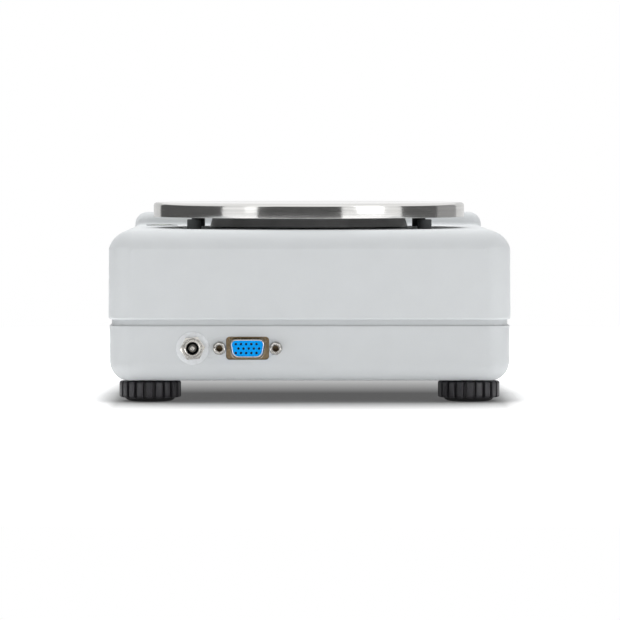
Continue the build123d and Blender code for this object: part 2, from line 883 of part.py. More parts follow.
def make_load_cell():
    """Bending beam with two bores joined by a slot."""
    half = cell_width / 2
    beam = block(-half, half, pan_y - cell_length / 2, pan_y + cell_length / 2, cell_z, cell_top_z)
    beam = fillet(beam.edges().filter_by(Axis.Z), cell_edge_round)
    middle = (cell_z + cell_top_z) / 2
    hollow = Rot(0, 90, 0) * Cylinder(cell_bore_radius, cell_width + 2 * cut_over)
    for side in (-1, 1):
        beam -= Pos(0, pan_y + side * cell_bore_offset, middle) * hollow
    slot = block(
        -half - cut_over, half + cut_over, pan_y - cell_bore_offset, pan_y + cell_bore_offset,
        middle - cell_slot_height / 2, middle + cell_slot_height / 2,
    )
    beam -= slot
    fixed, free = cell_screw_places()
    thread = cell_screw_radius + thread_clearance
    depth = cell_screw_grip + bore_over
    for x, y in fixed:
        beam -= cylinder(thread, cell_z - cut_over, cell_z + depth, x, y)
    for x, y in free:
        beam -= cylinder(thread, cell_top_z - depth, cell_top_z + cut_over, x, y)
    return beam


def make_cell_screws(places, seat_z, length, head_up):
    """Socket-head screws of one end of the load cell."""
    one = screw(cell_screw_radius, length, cell_screw_head_radius, cell_screw_head_height, cell_screw_socket)
    turn = Rot(0, 0, 0) if head_up else Rot(180, 0, 0)
    return join([Pos(x, y, seat_z) * turn * one for x, y in places])


def make_overload_screw():
    """Set screw under the load cell's free end."""
    tip = cell_z - overload_gap
    y = pan_y + cell_length / 2 - overload_screw_inset
    body = cylinder(overload_screw_radius, tip - overload_screw_length, tip, 0, y)
    body = chamfer(body.edges().group_by(Axis.Z)[-1], overload_screw_chamfer)
    socket = RegularPolygon(overload_socket_flats / 2, 6, major_radius=False)
    low = tip - overload_screw_length
    return body - Pos(0, y, low) * extrude(socket, amount=overload_socket_depth)


def make_overload_nut():
    """Lock nut of the overload screw."""
    y = pan_y + cell_length / 2 - overload_screw_inset
    low = chassis_z + chassis_thickness
    nut = Pos(0, y, low) * extrude(
        RegularPolygon(overload_nut_flats / 2, 6, major_radius=False), amount=overload_nut_height
    )
    return nut - bore(overload_screw_radius + thread_clearance, low, low + overload_nut_height, 0, y)


def is_ring(edge, radius, z):
    """Whether an edge is the full circle of a radius at a height."""
    return abs(edge.length - 2 * math.pi * radius) < near and abs(edge.center().Z - z) < near


def make_pan_carrier():
    """Arm and post that bring the load from the pan to the load cell's free end."""
    rear = pan_y + cell_length / 2
    arm = block(
        -carrier_half_width, carrier_half_width, pan_y, rear, carrier_z, carrier_z + carrier_thickness
    )
    disc = cylinder(carrier_disc_radius, carrier_z, carrier_z + carrier_thickness, 0, pan_y)
    plate = arm + disc
    top = carrier_z + carrier_thickness
    body = plate + cylinder(hub_radius, top, post_top_z, 0, pan_y)
    foot = [e for e in body.edges() if is_ring(e, hub_radius, top)]
    body = fillet(foot, carrier_fillet)
    for x, y in cell_screw_places()[1]:
        body -= bore(cell_screw_radius + m3_hole_clearance, carrier_z, top, x, y)
    for x, y in support_screw_places():
        low = support_top_z - support_screw_length - bore_over
        body -= cylinder(m3_radius + thread_clearance, low, post_top_z + cut_over, x, y)
    return body


def support_screw_places():
    """Places of the screws through the pan support's hub."""
    turns = [math.radians(90 + 360 / support_screw_count * i) for i in range(support_screw_count)]
    return [(support_screw_circle * math.cos(t), pan_y + support_screw_circle * math.sin(t)) for t in turns]


def cushion_places():
    """Places of the pan's cushions."""
    turns = [2 * math.pi * (i + 0.5) / cushion_count for i in range(cushion_count)]
    return [(cushion_circle_radius * math.cos(t), pan_y + cushion_circle_radius * math.sin(t)) for t in turns]


def support_radius(z):
    """Outer radius of the pan support at a height."""
    return support_foot_radius - support_slope * (z - deck_z)


def make_pan_support():
    """Cone with a plate on top, a hub in the middle and ribs below."""
    low = support_bottom_z
    top = support_top_z
    plate_low = top - support_plate
    round_r = support_rim_round
    outer = turned([
        (0, low), (support_radius(low), low), (support_radius(top - round_r), top - round_r),
        (support_radius(top) - round_r, top), (0, top),
    ], 0, pan_y)
    hollow = turned([
        (0, low - cut_over), (support_radius(low) - support_skin, low - cut_over),
        (support_radius(plate_low) - support_skin, plate_low), (0, plate_low),
    ], 0, pan_y)
    body = outer - hollow
    rib_low = collar_z + rib_gap
    spokes = []
    for i in range(support_ribs):
        spoke = block(
            hub_radius - weld, support_radius(top) - support_skin / 2, -support_rib / 2, support_rib / 2,
            rib_low, plate_low + weld,
        )
        spokes.append(Pos(0, pan_y, 0) * Rot(0, 0, support_rib_turn + i * 360 / support_ribs) * spoke)
    body += spokes
    body += cylinder(hub_radius, post_top_z, plate_low + weld, 0, pan_y)
    body -= bore(pan_stub_radius + stub_clearance, pan_under_z - pan_stub_length, top, 0, pan_y)
    for x, y in support_screw_places():
        body -= bore(m3_radius + m3_hole_clearance, post_top_z, top, x, y)
        sink_bottom = top - support_screw_head_height
        body -= turned([
            (0, top + near), (support_screw_head_radius + m3_hole_clearance, top + near),
            (m3_radius + m3_hole_clearance, sink_bottom), (0, sink_bottom),
        ], x, y)
    for x, y in cushion_places():
        body -= cylinder(cushion_radius + cushion_clearance, top - cushion_seat, top + cut_over, x, y)
    return body


def make_support_screws():
    """Countersunk screws that hold the pan support on the carrier's post."""
    one = countersunk_screw(
        m3_radius, support_screw_length, support_screw_head_radius, support_screw_head_height
    )
    return join([Pos(x, y, support_top_z) * one for x, y in support_screw_places()])


def make_pan_cushions():
    """Soft buttons that the pan rests on."""
    one = cylinder(cushion_radius, support_top_z - cushion_seat, pan_under_z)
    one = fillet(one.edges().group_by(Axis.Z)[-1], cushion_round)
    return join([Pos(x, y, 0) * one for x, y in cushion_places()])


def make_weighing_pan():
    """Round pan with a turned-down rim and a stub that centres it."""
    outer = pan_diameter / 2
    low = pan_top_z - pan_rim_height
    pan = turned([
        (0, pan_under_z), (outer - pan_sheet, pan_under_z), (outer - pan_sheet, low),
        (outer, low), (outer, pan_top_z), (0, pan_top_z),
    ], 0, pan_y)
    pan = fillet(pan.edges().group_by(Axis.Z)[-1], pan_edge_radius)
    stub = cylinder(pan_stub_radius, pan_under_z - pan_stub_length, pan_under_z + weld, 0, pan_y)
    stub = chamfer(stub.edges().group_by(Axis.Z)[0], pan_stub_chamfer)
    return pan + stub


def d_plan(width, height, radius):
    """D-shaped outline with its wide side up."""
    lean = height * math.tan(math.radians(port_shell_slant))
    corners = Polyline(
        (-width / 2, height / 2), (width / 2, height / 2),
        (width / 2 - lean, -height / 2), (-width / 2 + lean, -height / 2), close=True,
    )
    return fillet(make_face(corners).vertices(), radius)


def port_shape(shape):
    """Place a data-socket piece, drawn with local Y up and made outward along +Z."""
    upright_plane = Plane(origin=(port_x, socket_face_y, socket_z), x_dir=(-1, 0, 0), z_dir=(0, 1, 0))
    return upright_plane.location * shape


def make_port_flange():
    """Flange behind the wall, with holes for the shell and jackscrews."""
    back = -socket_wall - port_flange_thickness
    plate = extrude(
        Pos(0, 0, back) * RectangleRounded(port_flange_width, port_flange_height, port_flange_radius),
        amount=port_flange_thickness,
    )
    through = port_flange_thickness + 2 * cut_over
    window = d_plan(port_shell_width, port_shell_height, port_shell_radius)
    plate -= extrude(Pos(0, 0, back - cut_over) * window, amount=through)
    for side in (-1, 1):
        plate -= Pos(side * jackscrew_pitch / 2, 0, back) * Cylinder(jackscrew_hole_radius, 2 * through)
    return port_shape(plate)


def make_port_shell():
    """Plated shell that guides the plug."""
    back = -socket_wall - port_flange_thickness
    skin = port_shell_skin
    length = port_flange_thickness + port_shell_reach
    outer = d_plan(port_shell_width, port_shell_height, port_shell_radius)
    inner = d_plan(port_shell_width - 2 * skin, port_shell_height - 2 * skin, port_shell_radius - skin)
    shell = extrude(Pos(0, 0, back) * (outer - inner), amount=length)
    return port_shape(shell)


def contact_places():
    """Places of the contacts in rows, the middle row half a pitch to one side."""
    places = []
    for row in range(port_rows):
        shift = port_pitch / 4 if row == 1 else -port_pitch / 4
        height = ((port_rows - 1) / 2 - row) * port_row_pitch
        for column in range(port_columns):
            places.append(((column - (port_columns - 1) / 2) * port_pitch + shift, height))
    return places


def make_port_insert():
    """Blue insulator with its body behind the flange."""
    skin = port_shell_skin
    back = -socket_wall - port_flange_thickness
    front = -socket_wall + port_shell_reach - port_insert_recess
    plan = d_plan(port_shell_width - 2 * skin, port_shell_height - 2 * skin, port_shell_radius - skin)
    insert = extrude(Pos(0, 0, back) * plan, amount=front - back)
    rear = RectangleRounded(port_body_width, port_body_height, port_body_radius)
    insert += extrude(Pos(0, 0, back - port_body_depth) * rear, amount=port_body_depth)
    seat = front - port_mouth_depth
    for x, y in contact_places():
        insert -= Pos(x, y, seat) * Cylinder(port_mouth_radius, 4 * port_mouth_depth)
        insert -= Pos(x, y, seat - port_contact_length) * Cylinder(
            port_contact_radius, port_contact_length, align=(Align.CENTER, Align.CENTER, Align.MIN)
        )
    return port_shape(insert)


def make_port_contacts():
    """Gilt socket contacts behind the insert's mouths."""
    front = -socket_wall + port_shell_reach - port_insert_recess - port_mouth_depth
    tubes = []
    for x, y in contact_places():
        tube = Cylinder(port_contact_radius, port_contact_length)
        tube -= Pos(0, 0, port_contact_floor) * Cylinder(port_contact_bore, port_contact_length)
        tubes.append(port_shape(Pos(x, y, front - port_contact_length / 2) * tube))
    return join(tubes)


def make_jackscrews():
    """Hexagon jackscrews with a threaded bore for the plug's screws."""
    seat = jackscrew_washer_thickness
    hexagon = RegularPolygon(jackscrew_flats / 2, 6, major_radius=False)
    head = extrude(Pos(0, 0, seat) * hexagon, amount=jackscrew_height)
    dome = turned([
        (0, seat), (jackscrew_flats, seat),
        (jackscrew_flats, seat + jackscrew_height * jackscrew_shoulder_share),
        (jackscrew_flats / 2 - jackscrew_bevel, seat + jackscrew_height), (0, seat + jackscrew_height),
    ])
    head &= dome
    head += Pos(0, 0, seat) * Cylinder(
        jackscrew_shank_radius, jackscrew_shank_length, align=(Align.CENTER, Align.CENTER, Align.MAX)
    )
    top = seat + jackscrew_height
    head -= Pos(0, 0, top) * Cylinder(jackscrew_bore_radius, 2 * jackscrew_bore_depth)
    return join([port_shape(Pos(side * jackscrew_pitch / 2, 0, 0) * head) for side in (-1, 1)])


def make_jackscrew_washers():
    """Washers under the jackscrews."""
    ring = Circle(jackscrew_washer_radius) - Circle(jackscrew_hole_radius)
    washer = extrude(ring, amount=jackscrew_washer_thickness)
    return join([port_shape(Pos(side * jackscrew_pitch / 2, 0, 0) * washer) for side in (-1, 1)])


def make_interface_board():
    """Board soldered to the data socket, with holes for the jackscrews' ends."""
    front = -socket_wall - port_flange_thickness - port_body_depth
    board = extrude(
        Pos(0, 0, front) * Rectangle(interface_board_width, interface_board_height), amount=-board_thickness
    )
    return port_shape(board)


def make_jack_washer():
    """Washer of the power inlet."""
    ring = Circle(jack_washer_radius) - Circle(jack_bushing_radius + jack_hole_clearance)
    return facing_rear(extrude(ring, amount=jack_washer_thickness), jack_x)


def make_jack_nut():
    """Hexagon nut of the power inlet."""
    hexagon = Rot(0, 0, jack_nut_turn) * RegularPolygon(jack_nut_flats / 2, 6, major_radius=False)
    ring = hexagon - Circle(jack_bushing_radius + thread_clearance)
    nut = extrude(Pos(0, 0, jack_washer_thickness) * ring, amount=jack_nut_height)
    return facing_rear(nut, jack_x)


def make_jack_bushing():
    """Threaded bushing with its flange inside the wall."""
    back = -socket_wall - jack_flange_thickness
    sleeve_back = jack_bushing_reach - jack_bore_depth
    bushing = turned([
        (jack_bore_radius, sleeve_back), (jack_bushing_radius - jack_sleeve_step, sleeve_back),
        (jack_bushing_radius - jack_sleeve_step, back), (jack_flange_radius, back),
        (jack_flange_radius, -socket_wall), (jack_bushing_radius, -socket_wall),
        (jack_bushing_radius, jack_bushing_reach - jack_bushing_chamfer),
        (jack_bushing_radius - jack_bushing_chamfer, jack_bushing_reach),
        (jack_bore_radius, jack_bushing_reach),
    ])
    return facing_rear(bushing, jack_x)


def make_jack_body():
    """Insulating body behind the bushing, with two solder lugs."""
    front = -socket_wall - jack_flange_thickness
    sleeve_back = jack_bushing_reach - jack_bore_depth
    back = front - jack_body_length
    body = turned([
        (0, back), (jack_body_radius, back), (jack_body_radius, front),
        (jack_bushing_radius - jack_sleeve_step, front),
        (jack_bushing_radius - jack_sleeve_step, sleeve_back), (0, sleeve_back),
    ])
    body -= Pos(0, 0, sleeve_back) * Cylinder(jack_pin_root_radius, 2 * jack_pin_root_length)
    for side in (-1, 1):
        size = (jack_lug_width, jack_lug_thickness, jack_lug_length)
        lug = Box(*size, align=(Align.CENTER, Align.CENTER, Align.MAX))
        body += Pos(0, side * jack_body_radius * jack_lug_share, back) * lug
    return facing_rear(body, jack_x)


def make_jack_pin():
    """Centre pin of the power inlet."""
    low = jack_bushing_reach - jack_bore_depth
    top = jack_bushing_reach - jack_pin_recess
    pin = cylinder(jack_pin_radius, low, top)
    pin = fillet(pin.edges().group_by(Axis.Z)[-1], jack_pin_round)
    pin += cylinder(jack_pin_root_radius, low - jack_pin_root_length, low)
    return facing_rear(pin, jack_x)


def make_main_board():
    """Main circuit board."""
    board = block(
        -main_board_half_width, main_board_half_width,
        rear_y - main_board_front_depth, rear_y - main_board_rear_depth,
        main_board_z, main_board_z + board_thickness,
    )
    for x, y in main_board_screw_places():
        board -= bore(m3_radius + m3_hole_clearance, main_board_z, main_board_z + board_thickness, x, y)
    return board


def on_main_board(width, length, height, x_share, y_share):
    """Block standing on the main board, placed by shares of the board's half sizes."""
    low = main_board_z + board_thickness
    middle = rear_y - (main_board_rear_depth + main_board_front_depth) / 2
    half_length = (main_board_front_depth - main_board_rear_depth) / 2
    x = x_share * main_board_half_width
    y = middle + y_share * half_length
    return block(x - width / 2, x + width / 2, y - length / 2, y + length / 2, low, low + height)


def make_main_board_parts():
    """Processor, converter can, connectors and capacitors on the main board."""
    connector = (connector_length, connector_width, connector_height)
    parts = [
        on_main_board(processor_size, processor_size, processor_height, 0, 0),
        on_main_board(converter_size, converter_size, converter_height, converter_share, 0),
        on_main_board(*connector, -connector_share, connector_row_share),
        on_main_board(*connector, 0, -connector_row_share),
    ]
    low = main_board_z + board_thickness
    middle = rear_y - (main_board_rear_depth + main_board_front_depth) / 2
    x = -capacitor_share * main_board_half_width
    for i in range(capacitor_count):
        y = middle + (0.5 - i) * capacitor_pitch
        parts.append(cylinder(capacitor_radius, low, low + capacitor_height, x, y))
    return join(parts)


def make_display_board():
    """Board behind the display and keys, on the console's bosses."""
    board = extrude(Rectangle(2 * display_board_half_width, display_board_length), amount=-board_thickness)
    board = on_console(0, -display_board_centre, -display_board_drop) * board
    for x, y in display_board_screw_places():
        hole = Cylinder(m3_radius + m3_hole_clearance, 2 * (display_board_drop + board_thickness + cut_over))
        board -= on_console(x, y) * hole
    return board


def make_m3_screws():
    """Screws of the chassis plate, the main board and the display board."""
    one = screw(m3_radius, m3_length, m3_head_radius, m3_head_height)
    screws = [Pos(x, y, chassis_z + chassis_thickness) * one for x, y in chassis_screw_places()]
    screws += [Pos(x, y, main_board_z + board_thickness) * one for x, y in main_board_screw_places()]
    under = -display_board_drop - board_thickness
    screws += [on_console(x, y, under) * Rot(180, 0, 0) * one for x, y in display_board_screw_places()]
    return join(screws)


def make_display_frame():
    """Metal frame round the display glass."""
    top = -upper_wall - display_frame_gap
    depth = display_board_drop - upper_wall - display_frame_gap
    outer = extrude(Rectangle(display_frame_width, display_frame_length), amount=-depth)
    pocket = Rectangle(display_glass_width, display_glass_length)
    hollow = Pos(0, 0, -display_frame_skin) * extrude(pocket, amount=-display_glass_thickness)
    view = extrude(
        Rectangle(window_width - 2 * window_ledge, window_length - 2 * window_ledge),
        amount=display_frame_skin, both=True,
    )
    return on_console(0, -window_centre, top) * (outer - hollow - view)


def make_display_glass():
    """Glass of the display."""
    top = -upper_wall - display_frame_gap - display_frame_skin
    glass = extrude(Rectangle(display_glass_width, display_glass_length), amount=-display_glass_thickness)
    return on_console(0, -window_centre, top) * glass


def make_display_window():
    """Clear window let into the console."""
    plate = RectangleRounded(window_width, window_length, window_radius - window_clearance)
    window = extrude(plate, amount=window_thickness)
    window = fillet(window.edges().group_by(Axis.Z)[-1], window_edge_round)
    return on_console(0, -window_centre, -window_recess) * window


def make_key(x, y):
    """Key cap with its retaining flange and switch stem."""
    cap_low = -upper_wall - key_flange_gap
    cap = extrude(
        Pos(0, 0, cap_low) * RectangleRounded(key_width, key_length, key_radius - key_clearance),
        amount=key_proud - cap_low,
    )
    cap = fillet(cap.edges().group_by(Axis.Z)[-1], key_edge_round)
    flange = RectangleRounded(key_width + 2 * key_flange, key_length + 2 * key_flange, key_radius)
    cap += extrude(Pos(0, 0, cap_low) * flange, amount=-key_flange_thickness)
    stem_low = -display_board_drop + switch_height - switch_bore_depth + key_travel + switch_bore_clearance
    stem_top = cap_low - key_flange_thickness
    cap += Pos(0, 0, stem_low) * Cylinder(
        key_stem_radius, stem_top - stem_low, align=(Align.CENTER, Align.CENTER, Align.MIN)
    )
    return on_console(x, y) * cap


def make_key_switches():
    """Switches on the display board, one below each key."""
    body = extrude(Rectangle(switch_size, switch_size), amount=switch_height)
    bore = Pos(0, 0, switch_height) * Cylinder(key_stem_radius + switch_bore_clearance, 2 * switch_bore_depth)
    one = body - bore
    return join([on_console(x, y, -display_board_drop) * one for x, y in key_places()])


def make_level_cup():
    """Cup of the bubble level, let into the deck."""
    bottom = deck_z - level_cup_depth
    inner = level_radius - level_cup_wall
    top = deck_z + level_flange_thickness
    cup = turned([
        (0, bottom), (level_radius, bottom), (level_radius, deck_z), (level_radius + level_flange, deck_z),
        (level_radius + level_flange, top), (inner, top), (inner, bottom + level_cup_wall),
        (0, bottom + level_cup_wall),
    ])
    return Pos(level_x, rear_y - level_depth, 0) * cup


def make_level_vial():
    """Clear vial in the cup."""
    radius = level_radius - level_cup_wall
    top = deck_z + level_flange_thickness - level_vial_drop
    vial = cylinder(radius, deck_z - level_cup_depth + level_cup_wall, top)
    vial = fillet(vial.edges().group_by(Axis.Z)[-1], level_vial_round)
    return Pos(level_x, rear_y - level_depth, 0) * vial


def make_all():
    """Write every sub-part."""
    save(make_upper_housing(), "upper_housing")
    save(make_lower_housing(), "lower_housing")
    save(make_housing_screws(), "housing_screws")
    save(make_overload_stops(), "overload_stops")
    save(make_foot_inserts(), "foot_inserts")
    for name, x, y in foot_places():
        save(make_foot_wheel(x, y), f"foot_wheel_{name}")
        save(make_foot_stud(x, y), f"foot_stud_{name}")
        save(make_foot_pad(x, y), f"foot_pad_{name}")

    save(make_chassis_plate(), "chassis_plate")
    save(make_lower_spacer(), "cell_spacer_lower")
    save(make_upper_spacer(), "cell_spacer_upper")
    save(make_load_cell(), "load_cell")
    fixed, free = cell_screw_places()
    lower_length = chassis_thickness + lower_spacer_height + cell_screw_grip
    upper_length = carrier_thickness + upper_spacer_height + cell_screw_grip
    save(make_cell_screws(fixed, chassis_z, lower_length, False), "cell_screws_lower")
    save(make_cell_screws(free, carrier_z + carrier_thickness, upper_length, True), "cell_screws_upper")
    save(make_overload_screw(), "overload_screw")
    save(make_overload_nut(), "overload_nut")
    save(make_pan_carrier(), "pan_carrier")
    save(make_pan_support(), "pan_support")
    save(make_support_screws(), "pan_support_screws")
    save(make_pan_cushions(), "pan_cushions")
    save(make_weighing_pan(), "weighing_pan")

    save(make_port_flange(), "data_port_flange")
    save(make_port_shell(), "data_port_shell")
    save(make_port_insert(), "data_port_insert")
    save(make_port_contacts(), "data_port_contacts")
    save(make_jackscrews(), "jackscrews")
    save(make_jackscrew_washers(), "jackscrew_washers")
    save(make_interface_board(), "interface_board")
    save(make_jack_washer(), "power_jack_washer")
    save(make_jack_nut(), "power_jack_nut")
    save(make_jack_bushing(), "power_jack_bushing")
    save(make_jack_body(), "power_jack_body")
    save(make_jack_pin(), "power_jack_pin")

    save(make_main_board(), "main_board")
    save(make_main_board_parts(), "main_board_parts")
    save(make_display_board(), "display_board")
    save(make_m3_screws(), "m3_screws")
    save(make_display_frame(), "display_frame")
    save(make_display_glass(), "display_glass")
    save(make_display_window(), "display_window")
    for number, (x, y) in enumerate(key_places(), start=1):
        save(make_key(x, y), f"key_{number}")
    save(make_key_switches(), "key_switches")
    save(make_level_cup(), "level_cup")
    save(make_level_vial(), "level_vial")


make_all()
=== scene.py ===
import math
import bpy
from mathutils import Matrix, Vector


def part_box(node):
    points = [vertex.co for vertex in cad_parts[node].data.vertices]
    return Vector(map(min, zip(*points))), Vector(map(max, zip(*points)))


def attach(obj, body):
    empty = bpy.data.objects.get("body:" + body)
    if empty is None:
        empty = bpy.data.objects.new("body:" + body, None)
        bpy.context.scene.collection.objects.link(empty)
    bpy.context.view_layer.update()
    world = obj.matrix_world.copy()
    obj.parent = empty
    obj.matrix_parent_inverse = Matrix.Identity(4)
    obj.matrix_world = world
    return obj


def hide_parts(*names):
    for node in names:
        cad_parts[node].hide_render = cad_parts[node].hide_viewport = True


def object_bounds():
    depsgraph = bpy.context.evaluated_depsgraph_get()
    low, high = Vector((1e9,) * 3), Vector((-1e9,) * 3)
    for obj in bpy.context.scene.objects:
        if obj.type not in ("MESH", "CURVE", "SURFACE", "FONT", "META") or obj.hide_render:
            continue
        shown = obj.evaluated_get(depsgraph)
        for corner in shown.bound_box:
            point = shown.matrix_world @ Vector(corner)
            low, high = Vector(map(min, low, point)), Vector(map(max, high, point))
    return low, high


bl_info = {
    "name": "Precision Balance",
    "version": (1, 0, 0),
    "blender": (4, 5, 0),
    "location": "3D View > Sidebar > Balance",
    "description": "Dresses the CAD frame of a top-loading precision balance",
    "category": "Object",
}

import bmesh
import bpy
from bpy.props import FloatProperty, FloatVectorProperty, IntProperty, PointerProperty
from mathutils import Matrix, Vector

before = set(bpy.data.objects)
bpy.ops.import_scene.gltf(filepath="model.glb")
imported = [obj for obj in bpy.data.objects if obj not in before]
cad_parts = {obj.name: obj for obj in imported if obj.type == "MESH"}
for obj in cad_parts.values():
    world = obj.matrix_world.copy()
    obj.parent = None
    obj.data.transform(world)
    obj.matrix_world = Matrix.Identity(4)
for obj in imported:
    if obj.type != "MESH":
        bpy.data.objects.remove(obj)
cad_low, cad_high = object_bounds()

# Lengths are in metres. The photograph looks along -Y at the balance's rear.
MM = 0.001
FEET = ("front_left", "front_right", "rear_left", "rear_right")
KEYS = ("key_1", "key_2", "key_3", "key_4", "key_5", "key_6")

# The console's face rises and runs this far.
CONSOLE_RISE = 21.0 * MM
CONSOLE_RUN = 66.0 * MM
CONSOLE_SLOPE = math.atan2(CONSOLE_RISE, CONSOLE_RUN)

# Edges sharper than these angles stay sharp.
CORNER = math.radians(35)
FINE_CORNER = math.radians(20)
RIB_CORNER = math.radians(28)

# Segments of a rounded corner, and steps round large, middling, small and tiny turned shapes.
ROUND = 4
PAN_STEPS = 256
WASHER_STEPS = 128
TURNED_STEPS = 96
SMALL_STEPS = 64
TINY_STEPS = 48

# Vertices nearer than this are one.
WELD = 1e-7

# Colours of the finishes that have no setting of their own
ALUMINIUM = (0.68, 0.69, 0.7)
DULL_ZINC = (0.5, 0.5, 0.49)
STUD_ZINC = (0.55, 0.55, 0.54)
BRASS = (0.62, 0.46, 0.2)
BOARD_GREEN = (0.02, 0.16, 0.06)
COMPONENT_BLACK = (0.02, 0.02, 0.02)
PAD_BLACK = (0.02, 0.02, 0.021)
INLET_BLACK = (0.012, 0.012, 0.011)
SILICONE_GREY = (0.5, 0.5, 0.48)
TIN = (0.78, 0.76, 0.72)
# Brass of the jackscrews' bores, darkened with painted shade of the deep bore.
BRASS_BROWN_PAINTED_SHADE = (0.16, 0.115, 0.07)
# Gold of the socket's contacts, darkened with painted shade of their deep holes.
GILT_IN_PAINTED_SHADE = (0.1, 0.07, 0.035)
WINDOW_SMOKE = (0.08, 0.09, 0.09)
SEGMENT_GREY = (0.05, 0.06, 0.045)
PRINT_WHITE = (0.8, 0.8, 0.78)
CUP_GREY = (0.5, 0.51, 0.52)
LEVEL_GREEN = (0.42, 0.62, 0.08)
BUBBLE_GREEN = (0.72, 0.86, 0.4)
LINE_BLACK = (0.02, 0.02, 0.02)


def middle(node):
    """Middle of a CAD node's box."""
    low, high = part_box(node)
    return (low + high) / 2


def size(node):
    """Lengths of a CAD node's box."""
    low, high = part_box(node)
    return high - low


# Node trees


def add_node(tree, kind, inputs=None, **settings):
    """New shader node with its settings, and its inputs linked or set by name."""
    node = tree.nodes.new(kind)
    for name, value in settings.items():
        setattr(node, name, value)
    for name, value in (inputs or {}).items():
        if isinstance(value, bpy.types.NodeSocket):
            tree.links.new(value, node.inputs[name])
        else:
            node.inputs[name].default_value = value
    return node


def new_finish(name, metallic, specular=0.5):
    """Material with a Principled shader, its tree and the piece's own coordinates."""
    material = bpy.data.materials.new(name)
    material.use_nodes = True
    tree = material.node_tree
    shader = tree.nodes["Principled BSDF"]
    shader.inputs["Metallic"].default_value = metallic
    shader.inputs["Specular IOR Level"].default_value = specular
    place = add_node(tree, "ShaderNodeTexCoord").outputs["Object"]
    return material, tree, shader, place


def noise(tree, vector, feature, detail=2.0):
    """Noise whose lumps are about one feature wide."""
    node = add_node(tree, "ShaderNodeTexNoise", {"Vector": vector, "Scale": 1 / feature, "Detail": detail})
    return node.outputs[0]


def spread(tree, value, low, high):
    """Value from 0.3 to 0.7, as noise gives it, spread between two numbers."""
    inputs = {"Value": value, "From Min": 0.3, "From Max": 0.7, "To Min": low, "To Max": high}
    return add_node(tree, "ShaderNodeMapRange", inputs).outputs["Result"]


def ramp(tree, value, start, end, low, high):
    """Value that runs from low to high while another runs from start to end, and stays there."""
    inputs = {"Value": value, "From Min": start, "From Max": end, "To Min": low, "To Max": high}
    return add_node(tree, "ShaderNodeMapRange", inputs).outputs["Result"]


def tint(tree, colour, factor):
    """Colour made darker or lighter by a factor near one."""
    return scaled(tree, (*colour[:3],), factor)


def bump(tree, height, depth, strength=1.0, below=None):
    """Bump of a height pattern as deep as depth, on top of another one."""
    inputs = {"Height": height, "Distance": depth, "Strength": strength}
    if below is not None:
        inputs["Normal"] = below
    return add_node(tree, "ShaderNodeBump", inputs).outputs["Normal"]


def stretched(tree, vector, along):
    """Coordinates stretched so that a noise draws lines along one axis or in one plane."""
    return add_node(tree, "ShaderNodeMapping", {"Vector": vector, "Scale": along}).outputs["Vector"]


def plug(tree, shader, **values):
    """Link sockets into a shader's inputs, which are named with underscores for spaces."""
    for name, value in values.items():
        tree.links.new(value, shader.inputs[name.replace("_", " ")])


def maths(tree, operation, *values):
    """Result of a sum over sockets or numbers."""
    return add_node(tree, "ShaderNodeMath", dict(enumerate(values)), operation=operation).outputs[0]


def scaled(tree, vector, factor):
    """Vector times a socket or a number."""
    return add_node(tree, "ShaderNodeVectorMath", {0: vector, "Scale": factor}, operation="SCALE").outputs[0]


# Finishes


def moulded_plastic(name, colour, roughness, grain, depth, mottle=0.02, specular=0.5):
    """Textured moulding: fine grain, slight mottling and patches that are a little shinier."""
    material, tree, shader, place = new_finish(name, 0.0, specular)
    cloud = noise(tree, place, 40 * grain, 3.0)
    fine = noise(tree, place, grain, 3.0)
    coarse = noise(tree, place, 3.2 * grain)
    shade = maths(tree, "MULTIPLY", spread(tree, cloud, 1 - mottle, 1 + mottle),
                  spread(tree, fine, 1 - mottle, 1 + mottle))
    normal = bump(tree, coarse, depth, 0.5)
    plug(tree, shader, Base_Color=tint(tree, colour, shade),
         Roughness=spread(tree, coarse, roughness - 0.05, roughness + 0.05),
         Normal=bump(tree, fine, depth, 0.8, normal))
    return material


def brushed_metal(name, colour, roughness, lines, depth, streak):
    """Metal with fine brush lines, drawn by coordinates stretched along the brushing."""
    material, tree, shader, place = new_finish(name, 1.0)
    drawn = stretched(tree, place, lines)
    fine = noise(tree, drawn, 1.0, 4.0)
    broad = noise(tree, drawn, 4.5, 2.0)
    smear = noise(tree, place, 30 * MM, 2.0)
    plug(tree, shader, Base_Color=tint(tree, colour, spread(tree, broad, 1 - streak, 1 + streak)),
         Roughness=spread(tree, smear, roughness - 0.04, roughness + 0.05), Normal=bump(tree, fine, depth))
    return material


def plated_metal(name, colour, roughness, scratch=0.01 * MM, tarnish=0.05):
    """Plated or zinc-coated metal with a soft ripple, faint scratches and duller patches."""
    material, tree, shader, place = new_finish(name, 1.0)
    scratches = (900, 2500, 2500)
    ripple = noise(tree, place, 2.2 * MM, 3.0)
    fine = noise(tree, stretched(tree, place, scratches), 1.0, 3.0)
    patch = noise(tree, place, 1.1 * MM, 4.0)
    normal = bump(tree, ripple, scratch * 3, 0.6)
    plug(tree, shader, Base_Color=tint(tree, colour, spread(tree, patch, 1 - tarnish, 1 + tarnish)),
         Roughness=spread(tree, patch, roughness - 0.05, roughness + 0.07),
         Normal=bump(tree, fine, scratch, 0.8, normal))
    return material


